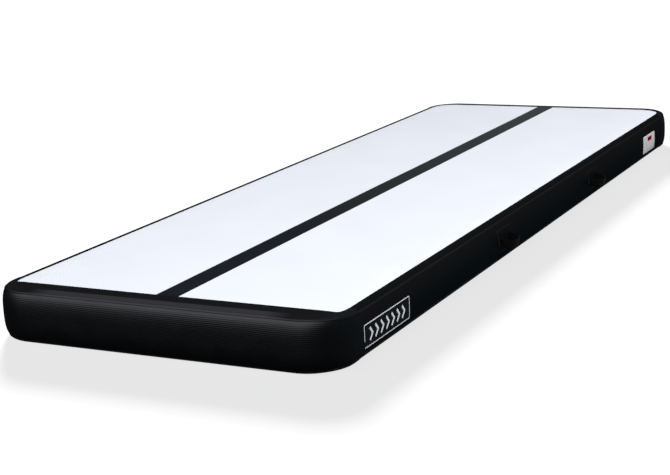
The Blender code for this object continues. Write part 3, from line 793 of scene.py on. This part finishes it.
def on_shoulder(v):
    """Lift of a tape's lower face: it lies on the panel's edge and comes down to the wall."""
    return LIFT + PANEL_SHEET * (1 - smooth_step(v, -0.002, 0.012))


def on_panel(v):
    """The same at the top, where the crowned panel lifts the tape as well."""
    return on_shoulder(v) + crown(SHOULDER - v)


def bead(v, lower):
    """The welded lower edge of a tape stands a little proud of the wall."""
    across = np.clip((lower - v) / BEAD_WIDTH, 0, 1)
    return TAPE_BEAD * np.sin(math.pi * across) ** 2


def tape_sheet(name, rows, columns, material, lift, warp, lower, upside_down=False, relief=None):
    """A seam tape over a shoulder. lower gives v of its lower edge, lift what it lies on."""

    def raised(s, v):
        down = WALL_SPAN - v if upside_down else v
        flat = on_shoulder(down) if upside_down else on_panel(down)
        return flat + lift(down) + bead(down, lower(s))

    return skin_sheet(name, rows, columns, material, TAPE_SHEET, raised, warp, relief)


def make_end_tape(place, level, middle, border):
    """A tape round one end: wide on the end itself, narrower and further down the wall at its wraps."""
    upside_down = level == "bottom"
    low, high = SHOULDER - border, v_at_angle(END_TAPE_ANGLE)
    wrap_high = v_at_angle(SIDE_TAPE_ANGLE)
    rows = end_rows(END_REACH + 0.006)
    columns = graded(low, high, RIB_PITCH / 5, TAPE_SHEET)

    def turned(s):
        return smooth_step(np.abs(s), FLAT_X, END_REACH + 0.030)

    def lower(s):
        return high + (wrap_high - high) * turned(s - middle)

    def warp(s, v):
        share = (v - low) / (high - low)
        side_border = np.where((s > 0) == (middle == 0), SIDE_BORDER, LEFT_BORDER)
        inner = low + (SHOULDER - side_border - low) * turned(s)
        down = inner + (lower(s + middle) - inner) * share
        return slanted(s, down) + middle, WALL_SPAN - down if upside_down else down

    def above_layers(v):
        """Over the end wall's edge, and over the flat border strip where there is one."""
        strip = BORDER_SHEET if border == NEAR_TAPE_BORDER else 0.0
        wall = (WALL_SHEET + LIFT) * smooth_step(v, 0.0, 0.010)
        return wall + strip * smooth_step(SHOULDER - v, 0.026, 0.034)

    name = f"{level}_seam_tape_{place}"
    tape = tape_sheet(name, rows, columns, RIBBED_TAPE, above_layers, warp, lower, upside_down, tape_ribs)
    mount(tape, "mat", "ribbed_pvc", f"{level}_tape_{place}")


def make_side_tape(place, level, middle, border):
    upside_down = level == "bottom"
    half = FLAT_Y - (END_REACH - FLAT_X - ARC) - 0.001
    low, high = SHOULDER - border, v_at_angle(SIDE_TAPE_ANGLE)
    rows = graded(-half, half, 0.020, TAPE_SHEET)
    columns = graded(low, high, 0.0020, TAPE_SHEET)

    def warp(s, v):
        ramp = smooth_step(np.abs(s), half - 0.15, half)
        return s + np.sign(s) * WRAP_SLANT * v * ramp + middle, WALL_SPAN - v if upside_down else v

    name = f"{level}_seam_tape_{place}"
    tape = tape_sheet(name, rows, columns, SEAM_TAPE, np.zeros_like, warp, lambda s: high, upside_down)
    mount(tape, "mat", "black_pvc", f"{level}_tape_{place}")


def make_tapes():
    for level, near_border, far_border, left_border in (
        ("top", NEAR_TAPE_BORDER, FAR_BORDER, LEFT_BORDER),
        ("bottom", BOTTOM_BORDER, BOTTOM_BORDER, SIDE_BORDER),
    ):
        make_end_tape("near", level, 0.0, near_border)
        make_end_tape("far", level, FAR_MIDDLE, far_border)
        make_side_tape("right", level, RIGHT_MIDDLE, SIDE_BORDER)
        make_side_tape("left", level, LEFT_MIDDLE, left_border)


BORDER_OUTER = 0.030
BORDER_HALF = HALF_WIDTH - 0.033
FILLET_START, FILLET_WIDTH, FILLET_RISE = HALF_WIDTH - 0.046, 0.020, 0.030


def make_border_strip():
    """The smooth strip between the near seam tape and the white: its far edge turns away at both ends."""
    across = graded(-BORDER_HALF, BORDER_HALF, 0.010, 0.004)
    fine = BORDER_HALF - 0.08 * (1 - np.sin(np.linspace(0, math.pi / 2, 24)))
    across = np.unique(np.concatenate((across[np.abs(across) < fine[0]], -fine, fine)))
    outside = np.maximum(np.abs(across) - FLAT_X, 0)
    first = -FLAT_Y - np.sqrt((CORNER_RADIUS - BORDER_OUTER) ** 2 - outside**2)
    bent = np.maximum(np.abs(across) - FILLET_START, 0) / FILLET_WIDTH
    last = NEAR_BORDER - HALF_LENGTH + FILLET_RISE * (1 - np.sqrt(1 - bent**2))
    share = graded(0.0, 1.0, 0.05, 0.008)
    y = first[:, None] + np.outer(last - first, share)
    x = np.broadcast_to(across[:, None], y.shape)
    lower = panel_height(x, y) + LIFT
    body = np.outer(round_edge(across, 0.0005), round_edge(share, 0.008))
    outer = np.stack((x, y, lower + BORDER_SHEET * body), axis=-1)
    inner = np.stack((x, y, lower), axis=-1)
    strip = closed_grid("flat_border_strip", outer, inner, x, y, BORDER)
    mount(strip, "mat", "black_pvc", "near_border_strip")


def make_stripe():
    low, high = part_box("centre_stripe")
    across = graded(low.x, high.x, 0.008, PRINT_SHEET)
    along = graded(low.y, HALF_LENGTH - FAR_BORDER + 0.003, 0.020, PRINT_SHEET)
    x, y = np.meshgrid(across, along)
    lower = panel_height(x, y) + LIFT
    body = np.outer(round_edge(along, PRINT_SHEET), round_edge(across, PRINT_SHEET))
    outer = np.stack((x, y, lower + PRINT_SHEET * body), axis=-1)
    inner = np.stack((x, y, lower), axis=-1)
    stripe = closed_grid("printed_centre_stripe", outer, inner, x, y, STRIPE)
    mount(stripe, "mat", "navy_pvc", "centre_stripe")


# Signs on the right wall

INK = 0.0003
SIGN_SHEET = 0.0005
INK_LIFT = SIGN_SHEET + LIFT
FRAME_LINE = 0.0025
CHEVRONS = 7
CHEVRON_PITCH = 0.031
CHEVRON_SIZE = 0.016
CHEVRON_STROKE = 0.0072


def rounded_sheet(name, centre, size, radius, material, thickness, lift):
    """A thin rectangle with rounded corners on the skin. centre and size hold (s, v)."""
    length, height = size
    corner = length / 2 - radius * (1 - np.sin(np.radians(np.linspace(0, 90, 12))))
    straight = np.linspace(0, length / 2 - radius, max(3, round(length / 2 / 0.006)))[:-1]
    half = np.concatenate((straight, corner))
    rows = np.concatenate((-half[:0:-1], half))
    columns = graded(-height / 2, height / 2, 0.003, thickness)

    def warp(s, v):
        outside = np.maximum(np.abs(s) - (length / 2 - radius), 0)
        narrowed = 1 - (radius - np.sqrt(np.maximum(radius**2 - outside**2, 0))) / (height / 2)
        return s + centre[0], v * narrowed + centre[1]

    return skin_sheet(name, rows, columns, material, thickness, lift, warp)


def rounded_loop(centre, size, radius):
    """The outline of a rounded rectangle as (s, v) points."""
    points = []
    for turn in np.radians(np.arange(0, 360, 10)):
        corner_s = math.copysign(size[0] / 2 - radius, math.cos(turn + 1e-6))
        corner_v = math.copysign(size[1] / 2 - radius, math.sin(turn + 1e-6))
        corner = (centre[0] + corner_s, centre[1] + corner_v)
        points.append((corner[0] + radius * math.cos(turn), corner[1] + radius * math.sin(turn)))
    path = resample(points + points[:1], 0.004)
    return path[:-1]


def ink_section(width):
    """A flat printed line, its edges slightly rounded down."""
    half = width / 2
    return [(-half, 0.0), (-0.85 * half, INK), (0.85 * half, INK), (half, 0.0)]


def node_face(node, side):
    """(centre, size) in skin coordinates of a CAD sheet on the +X wall (side 1) or the -X wall (side -1)."""
    low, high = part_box(node)
    top, bottom = v_at_height(high.z), v_at_height(low.z)
    middle_y = (low.y + high.y) / 2
    s = RIGHT_MIDDLE + middle_y if side > 0 else LEFT_MIDDLE - middle_y
    return (s, (top + bottom) / 2), (high.y - low.y, bottom - top)


def chevron(centre):
    s, v = centre
    half = 0.45 * CHEVRON_SIZE
    return resample([(s - half, v - CHEVRON_SIZE), (s + half, v), (s - half, v + CHEVRON_SIZE)], 0.003)


def make_badge():
    """A dark framed sign with a plain row of chevrons."""
    centre, size = node_face("name_badge", 1)
    badge = rounded_sheet("badge_sheet", centre, size, 0.005, BADGE, SIGN_SHEET, LIFT)
    mount(badge, "mat", "badge", "name_badge")
    inset = (size[0] - 0.003, size[1] - 0.003)
    frame_line = skin_line(rounded_loop(centre, inset, 0.004), ink_section(FRAME_LINE), INK_LIFT, closed=True)
    mount(new_piece("badge_frame_line", *frame_line, BADGE_INK), "mat", "badge")
    middle = (CHEVRONS - 1) / 2
    places = [(centre[0] + (i - middle) * CHEVRON_PITCH, centre[1]) for i in range(CHEVRONS)]
    marks = [skin_line(chevron(place), ink_section(CHEVRON_STROKE), INK_LIFT) for place in places]
    mount(new_piece("badge_chevrons", *merged(marks), BADGE_INK), "mat", "badge")


def make_label():
    """A white care label with a small red bar and a few plain grey bars."""
    centre, size = node_face("care_label", 1)
    label = rounded_sheet("care_label_sheet", centre, size, 0.008, LABEL, SIGN_SHEET, LIFT)
    mount(label, "mat", "label", "care_label")

    def bar(offset_s, offset_v, length, width):
        middle = (centre[0] + offset_s, centre[1] + offset_v)
        path = resample([(middle[0] - length / 2, middle[1]), (middle[0] + length / 2, middle[1])], 0.006)
        return skin_line(path, ink_section(width), INK_LIFT)

    red = bar(0.006, -0.24 * size[1], 0.34 * size[0], 0.016)
    mount(new_piece("care_label_red_bar", *red, LABEL_RED), "mat", "label")
    greys = [
        bar(column * 0.25 * size[0], (row - 0.6) * 0.0085, 0.40 * size[0], 0.0022)
        for column in (-1, 1)
        for row in range(4)
    ]
    mount(new_piece("care_label_grey_bars", *merged(greys), LABEL_GREY), "mat", "label")


# Carry handles

STRAP_SHEET = 0.0022
STRAP_WIDTH = 0.025
STRAP_SPAN = 0.0415
STRAP_ROOT = 0.010
STRAP_REACH = 0.042
STRAP_DROOP = math.radians(12)
TAB_OUTER = 0.052
TAB_INNER = 0.040
BEND_RADIUS = 0.004
BEND_START, BEND_END = 0.0025, 0.0120
PATCH_LIFT = LIFT + TAPE_SHEET
THREAD = 0.00035
RIM_WIDTH = 0.0016


def strap_line():
    """The webbing's middle line seen from above, as (out from the patch, along the wall)."""
    rest = STRAP_SHEET / 2
    start = [(rest, TAB_OUTER), (rest, TAB_INNER + BEND_RADIUS)]
    turns = np.radians(np.linspace(0, 90, 8))[1:]
    bend = [
        (rest + BEND_RADIUS * (1 - math.cos(a)), TAB_INNER + BEND_RADIUS * (1 - math.sin(a)))
        for a in turns
    ]
    turns = np.linspace(math.pi / 2, 0, 24)
    reach = STRAP_REACH - STRAP_ROOT
    arch = [(STRAP_ROOT + reach * max(math.cos(a), 0) ** 0.8, STRAP_SPAN * math.sin(a)) for a in turns]
    half = start + bend + arch
    line = resample(half + [(x, -y) for x, y in reversed(half[:-1])], 0.0012)
    for _ in range(6):
        line[1:-1] = (line[:-2] + 2 * line[1:-1] + line[2:]) / 4
    return line


def strap_rings():
    """The webbing's rings as (out, along, up) from a line along the patch's outer face, at the wall's mid
    height.
    """
    line = strap_line()
    side = side_steps(line, closed=False)
    turns = np.linspace(0, 2 * math.pi, 48, endpoint=False)
    cosine, sine = np.cos(turns), np.sin(turns)
    wide = STRAP_WIDTH / 2 * np.sign(cosine) * np.abs(cosine) ** 0.3
    thick = STRAP_SHEET / 2 * np.sign(sine) * np.abs(sine) ** 0.6
    out = line[:, :1] + side[:, :1] * thick
    along = line[:, 1:] + side[:, 1:] * thick
    up = np.broadcast_to(wide, out.shape)
    droop = STRAP_DROOP * smooth_step(out, BEND_START, BEND_END)
    return out * np.cos(droop) + up * np.sin(droop), along, up * np.cos(droop) - out * np.sin(droop)


def stitches(path, lift, pitch=0.0030):
    """A row of short stitches along a path of (s, v)."""
    dense = resample(path, pitch / 6)
    run = np.concatenate(([0.0], np.cumsum(np.linalg.norm(np.diff(dense, axis=0), axis=1))))
    around = np.linspace(0, 2 * math.pi, 8, endpoint=False)
    ring = [(THREAD * math.cos(a), THREAD * math.sin(a)) for a in around]
    parts = []
    for number in range(round(run[-1] / pitch)):
        stations = (number + np.linspace(0.14, 0.86, 6)) * pitch
        points = np.stack([np.interp(stations, run, column) for column in dense.T], axis=1)
        parts.append(skin_line(points, ring, lift, taper=[0.3, 0.85, 1, 1, 0.85, 0.3]))
    return parts


def box_seam(centre, size):
    """Stitches round a rectangle and along both of its diagonals."""
    s, v = size[0] / 2, size[1] / 2
    corners = [(centre[0] + a * s, centre[1] + b * v) for a, b in ((-1, -1), (1, -1), (1, 1), (-1, 1))]
    paths = [corners + corners[:1], [corners[0], corners[2]], [corners[1], corners[3]]]
    return [part for path in paths for part in stitches(path, PATCH_LIFT + STRAP_SHEET)]


def make_handle(side_name, side, end_name):
    name = f"handle_{side_name}_{end_name}"
    centre, size = node_face(name + "_patch", side)
    patch = rounded_sheet(name + "_base_patch", centre, size, 0.010, BLACK, TAPE_SHEET, LIFT)
    mount(patch, "mat", "black_pvc", name + "_patch")
    # Painted highlight: a lighter line round the patch's edge, where its rim catches the light.
    inset = (size[0] - RIM_WIDTH, size[1] - RIM_WIDTH)
    rim = skin_line(rounded_loop(centre, inset, 0.009), ink_section(RIM_WIDTH), PATCH_LIFT, closed=True)
    mount(new_piece(name + "_patch_rim", *rim, PATCH_EDGE_HIGHLIGHT), "mat", "black_pvc")

    low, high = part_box(name + "_patch")
    middle_y = (low.y + high.y) / 2
    axis_x = HALF_WIDTH + PATCH_LIFT
    out, along, up = strap_rings()
    rings = np.stack((side * (axis_x + out), middle_y + along, MID_Z + up), axis=-1)
    strap = new_piece(name + "_webbing", *tube_parts(rings), WEBBING)
    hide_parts(name + "_strap", name + "_tab_near", name + "_tab_far")
    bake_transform(strap)

    tab_middle = (TAB_OUTER + TAB_INNER + BEND_RADIUS) / 2 + 0.0005
    seam_size = (TAB_OUTER - TAB_INNER - BEND_RADIUS - 0.0015, STRAP_WIDTH - 0.005)
    seams = [
        part
        for direction in (-1, 1)
        for part in box_seam((centre[0] + direction * tab_middle, centre[1]), seam_size)
    ]
    mount(new_piece(name + "_stitching", *merged(seams), BLACK_YARN), "mat", "webbing")


def make_handles():
    for side_name, side in (("right", 1), ("left", -1)):
        for end_name in ("near", "far"):
            make_handle(side_name, side, end_name)


# Valve on the far wall. Heights run out from its patch's outer face.

CAP_RADIUS = 0.0195
CAP_LOW, CAP_ROOF, CAP_TOP = 0.0060, 0.0165, 0.0190
CAP_BORE = 0.0164
CAP_ROUND = 0.0015
CAP_GRIPS = 20
GRIP_DEPTH = 0.0008
TETHER_HEIGHT = 0.0081
TETHER_RADIUS = 0.0194
TETHER_GROOVE, TETHER_LIP = 0.0179, 0.0188
STRAP_NEAR, STRAP_FAR = 0.0200, 0.0350
FLANGE_TOP = 0.0051
SPRING_WIRE = 0.0004
SPRING_TURNS = 4


def valve_axes():
    """The valve's own axes: Z out of the far wall and Y down it, from the outer face of its patch."""
    low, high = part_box("valve_cap")
    place = Vector(((low.x + high.x) / 2, low.y - CAP_LOW, (low.z + high.z) / 2))
    return Matrix.Translation(place) @ Matrix.Rotation(-math.pi / 2, 4, "X")


def arc_points(centre, radius, first, last, count=6):
    turns = np.radians(np.linspace(first, last, count))
    return [(centre[0] + radius * math.cos(turn), centre[1] + radius * math.sin(turn)) for turn in turns]


def grips(radii, turns, height):
    """Finger grips down the cap's rim, above the groove that holds the tether."""
    rim = (radii > TETHER_LIP) & (height > TETHER_HEIGHT)
    return radii - rim * GRIP_DEPTH * (1 - np.cos(CAP_GRIPS * turns)) / 2


def make_cap(axes):
    groove_low, groove_high = TETHER_HEIGHT - 0.0011, TETHER_HEIGHT + 0.0011
    dish = 0.0006
    profile = [
        (0.0, CAP_TOP - dish),
        (0.0120, CAP_TOP - dish),
        (0.0130, CAP_TOP),
        *arc_points((CAP_RADIUS - CAP_ROUND, CAP_TOP - CAP_ROUND), CAP_ROUND, 90, 0),
        (CAP_RADIUS, groove_high),
        (TETHER_GROOVE, groove_high),
        (TETHER_GROOVE, groove_low),
        (TETHER_LIP, groove_low),
        (TETHER_LIP, CAP_LOW),
        (CAP_BORE, CAP_LOW),
        (CAP_BORE, CAP_ROOF),
        (0.0, CAP_ROOF),
    ]
    cap = lathe("valve_screw_cap", profile, axes, CAP, steps=160, flute=grips)
    mount(cap, "valve_cap", "cap_plastic", "valve_cap")


def make_tether(axes):
    """The ring in the cap's groove, its strap and the tab that anchors it to the patch."""
    around = np.radians(np.arange(0, 360, 30))
    ring = [(TETHER_RADIUS + 0.0012 * math.cos(a), TETHER_HEIGHT + 0.0009 * math.sin(a)) for a in around]
    mount(lathe("valve_tether_ring", ring, axes, RUBBER), "valve_tether", "rubber", "valve_tether")

    stations = np.linspace(STRAP_NEAR, STRAP_FAR, 25)
    swell = 1 - 0.25 * np.sin(math.pi * (stations - STRAP_NEAR) / (STRAP_FAR - STRAP_NEAR))
    wide = 0.0025 * np.outer(swell, np.sign(np.cos(around)) * np.abs(np.cos(around)) ** 0.5)
    high = TETHER_HEIGHT + 0.0007 * np.sin(around) * np.ones_like(wide)
    strap = placed_tube("valve_tether_strap", (wide, stations[:, None] + 0 * wide, high), axes, RUBBER)
    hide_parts("valve_tether")
    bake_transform(strap)

    low, high_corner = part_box("valve_tether_tab")
    half = (high_corner - low) / 2
    middle = axes.inverted() @ ((low + high_corner) / 2)
    rise = np.linspace(-1, 1, 15)
    inset = (1 - np.abs(rise) ** 6) ** (1 / 6) * 0.35 + 0.65
    corner = np.radians(np.arange(0, 360, 10))
    square = [np.sign(f(corner)) * np.abs(f(corner)) ** 0.35 for f in (np.cos, np.sin)]
    x = middle.x + half.x * np.outer(inset, square[0])
    y = middle.y + half.z * np.outer(inset, square[1])
    z = middle.z + half.y * rise[:, None] + 0 * x
    mount(placed_tube("valve_anchor_tab", (x, y, z), axes, RUBBER), "mat", "rubber", "valve_tether_tab")


def make_spring(axes):
    """The plunger's return spring."""
    low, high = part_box("valve_spring")
    middle = axes.inverted() @ ((low + high) / 2)
    length = high.y - low.y
    wire = SPRING_WIRE
    coil = (high.x - low.x) / 2 - wire
    turns = np.linspace(0, 2 * math.pi * SPRING_TURNS, 28 * SPRING_TURNS)[:, None]
    around = np.radians(np.arange(0, 360, 36))
    radius = coil + wire * np.cos(around)
    rise = (length - 2 * wire) * (turns / turns[-1] - 0.5) + middle.z
    rings = (radius * np.cos(turns), radius * np.sin(turns), rise + wire * np.sin(around))
    spring = placed_tube("valve_return_spring", rings, axes, STEEL)
    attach(spring, "mat")
    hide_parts("valve_spring")
    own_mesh(spring)


def make_collar(axes):
    """A round-edged ring moulded on the valve's flange."""
    bottom = FLANGE_TOP + 0.0001
    profile = [(0.0285, bottom), *arc_points((0.0275, bottom + 0.0002), 0.0010, 0, 90)]
    profile += [*arc_points((0.0232, bottom + 0.0002), 0.0010, 90, 180), (0.0222, bottom)]
    mount(lathe("valve_flange_collar", profile, axes, VALVE), "mat", "valve_plastic")


def make_valve():
    axes = valve_axes()
    make_cap(axes)
    make_tether(axes)
    make_spring(axes)
    make_collar(axes)


# The inner and moulded parts keep their CAD shapes

FINISHES = {
    "thread": YARN,
    "black_pvc": BLACK_FLAT,
    "valve_plastic": INNER_PLASTIC,
    "cap_plastic": CAP_FLAT,
    "rubber": INNER_RUBBER,
}


def finish_cad_nodes():
    slots = {row["node"]: row["material_slot"] for row in frame["record"]["subparts"]}
    for name, node in frame["nodes"].items():
        if not node.hide_render:
            for material_slot in node.material_slots:
                material_slot.material = FINISHES[slots[name]]


# Stage: floor, light and camera

DOME_DIRECTION = (-0.2, -0.55, 0.8)
DOME_GAIN = 1.3
DOME_COLOUR = (DOME_GAIN * 0.98, DOME_GAIN * 0.99, DOME_GAIN * 1.06)
# (cosine of the angle from DOME_DIRECTION, brightness)
DOME_STEPS = (
    (-1.0, 0.010),
    (-0.1, 0.010),
    (0.32, 0.012),
    (0.48, 0.025),
    (0.60, 0.11),
    (0.78, 0.50),
    (0.86, 0.85),
    (1.0, 1.0),
)

FLOOR_GLOW = 0.76
SUN_POWER = 34
SUN_WIDTH = math.radians(11)
SUN_HEADING, SUN_ELEVATION = -33, 19.5
SOFTBOX_PLACE = Vector((6.3, -2.2, 7.6))
SOFTBOX_SIZE, SOFTBOX_POWER = 5, 980
BACK_PLACE = Vector((-4.5, 5.5, 3.0))
BACK_SIZE, BACK_POWER = 3, 420
LIT_FROM_BEHIND = (
    "wall_far", "wall_left", "bottom_seam_tape_far", "bottom_seam_tape_left", "handle_left", "valve"
)

# From the outline fit to the photo at a length of three widths: lens in millimetres, angles in degrees.
CAMERA_LENS = 81.30
CAMERA_HEADING = -27.1084
CAMERA_DIP = 13.8715
CAMERA_ROLL = -2.8753
CAMERA_PLACE = Vector((1.9929, -4.391, 1.1379))


def make_world():
    """A dome that is brightest up and in front of the near end, and plain white to the camera."""
    world = bpy.data.worlds.new("studio_dome")
    world.use_nodes = True
    bpy.context.scene.world = world
    tree = world.node_tree
    background = tree.nodes["Background"]
    direction = add_node(tree, "ShaderNodeTexCoord").outputs["Generated"]
    toward = Vector(DOME_DIRECTION).normalized()
    dot = add_node(tree, "ShaderNodeVectorMath", {0: direction, 1: toward}, operation="DOT_PRODUCT")
    inputs = {"Value": dot.outputs["Value"], "From Min": -1.0, "From Max": 1.0}
    share = add_node(tree, "ShaderNodeMapRange", inputs)
    ramp = add_node(tree, "ShaderNodeValToRGB", {"Fac": share.outputs["Result"]})
    steps = ramp.color_ramp.elements
    while len(steps) < len(DOME_STEPS):
        steps.new(0.5)
    for step, (place, level) in zip(steps, DOME_STEPS):
        step.position = (place + 1) / 2
        step.color = (level, level, level, 1)
    seen = add_node(tree, "ShaderNodeLightPath").outputs["Is Camera Ray"]
    inputs = {0: ramp.outputs["Color"], 1: DOME_COLOUR}
    light = add_node(tree, "ShaderNodeVectorMath", inputs, operation="MULTIPLY")
    mix = add_node(tree, "ShaderNodeMix", {0: seen}, data_type="RGBA")
    tree.links.new(light.outputs[0], mix.inputs[6])
    mix.inputs[7].default_value = (1, 1, 1, 1)
    tree.links.new(mix.outputs[2], background.inputs["Color"])


def make_floor():
    """A very wide pale floor that only the shadow sun lights."""
    bpy.ops.mesh.primitive_plane_add(size=60, location=(0, 0, -0.0004))
    floor = bpy.context.object
    floor.name = "studio_floor"
    material = bpy.data.materials.new("pale_floor")
    material.use_nodes = True
    shader = material.node_tree.nodes["Principled BSDF"]
    shader.inputs["Base Color"].default_value = (0.08, 0.08, 0.08, 1)
    shader.inputs["Roughness"].default_value = 1.0
    shader.inputs["Specular IOR Level"].default_value = 0.0
    shader.inputs["Emission Color"].default_value = (1, 1, 1, 1)
    shader.inputs["Emission Strength"].default_value = FLOOR_GLOW
    floor.data.materials.append(material)
    floor.visible_diffuse = False
    floor.visible_glossy = False
    floor.visible_transmission = False
    floor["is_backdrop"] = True
    return floor


def place_lamp(lamp, place, direction, receivers, left_out=(), glossy=False):
    """Put a lamp in the scene, shining against direction. It lights only receivers, or all but left_out."""
    light = bpy.data.objects.new(lamp.name, lamp)
    light.location = place
    light.rotation_euler = Vector(direction).to_track_quat("Z", "Y").to_euler()
    light.visible_camera = False
    light.visible_glossy = glossy
    bpy.context.scene.collection.objects.link(light)
    group = bpy.data.collections.new(lamp.name + "_receivers")
    for obj in (*receivers, *left_out):
        group.objects.link(obj)
    light.light_linking.receiver_collection = group
    for entry in group.collection_objects[len(receivers):]:
        entry.light_linking.link_state = "EXCLUDE"


def aimed(heading, elevation):
    """A unit vector at a compass heading from +Y towards +X, and an elevation, both in degrees."""
    a, e = math.radians(heading), math.radians(elevation)
    return Vector((math.sin(a) * math.cos(e), math.cos(a) * math.cos(e), math.sin(e)))


def area_lamp(name, size, power):
    lamp = bpy.data.lights.new(name, "AREA")
    lamp.size = size
    lamp.energy = power
    return lamp


def make_lights(floor):
    """A large softbox for the mat, a weak one for its left and far walls, and a sun for its shadow."""
    sun = bpy.data.lights.new("shadow_sun", "SUN")
    sun.energy = SUN_POWER
    sun.angle = SUN_WIDTH
    place_lamp(sun, (0, 0, 0), aimed(SUN_HEADING, SUN_ELEVATION), [floor])
    aim = SOFTBOX_PLACE - Vector((0, -HALF_LENGTH, 0))
    place_lamp(area_lamp("softbox", SOFTBOX_SIZE, SOFTBOX_POWER), SOFTBOX_PLACE, aim, [], [floor])
    back = area_lamp("back_softbox", BACK_SIZE, BACK_POWER)
    behind = [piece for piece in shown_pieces() if any(word in piece.name for word in LIT_FROM_BEHIND)]
    place_lamp(back, BACK_PLACE, BACK_PLACE, behind, glossy=True)


def make_camera():
    """The camera looks along the mat from beyond its near right corner, and tilts a little."""
    forward = aimed(CAMERA_HEADING, -CAMERA_DIP)
    level = Vector((forward.y, -forward.x, 0)).normalized()
    upright = level.cross(forward)
    tilt = math.radians(CAMERA_ROLL)
    right = level * math.cos(tilt) + upright * math.sin(tilt)
    above = upright * math.cos(tilt) - level * math.sin(tilt)
    lens = bpy.data.cameras.new("photo_camera")
    lens.lens = CAMERA_LENS
    camera = bpy.data.objects.new("photo_camera", lens)
    axes = Matrix((right, above, -forward)).transposed().to_4x4()
    camera.matrix_world = Matrix.Translation(CAMERA_PLACE) @ axes
    bpy.context.scene.collection.objects.link(camera)
    bpy.context.scene.camera = camera


make_panels()
make_walls()
make_tapes()
make_border_strip()
make_stripe()
make_badge()
make_label()
make_handles()
make_valve()
finish_cad_nodes()
make_world()
make_lights(make_floor())
make_camera()
bpy.context.scene.view_settings.view_transform = "Standard"
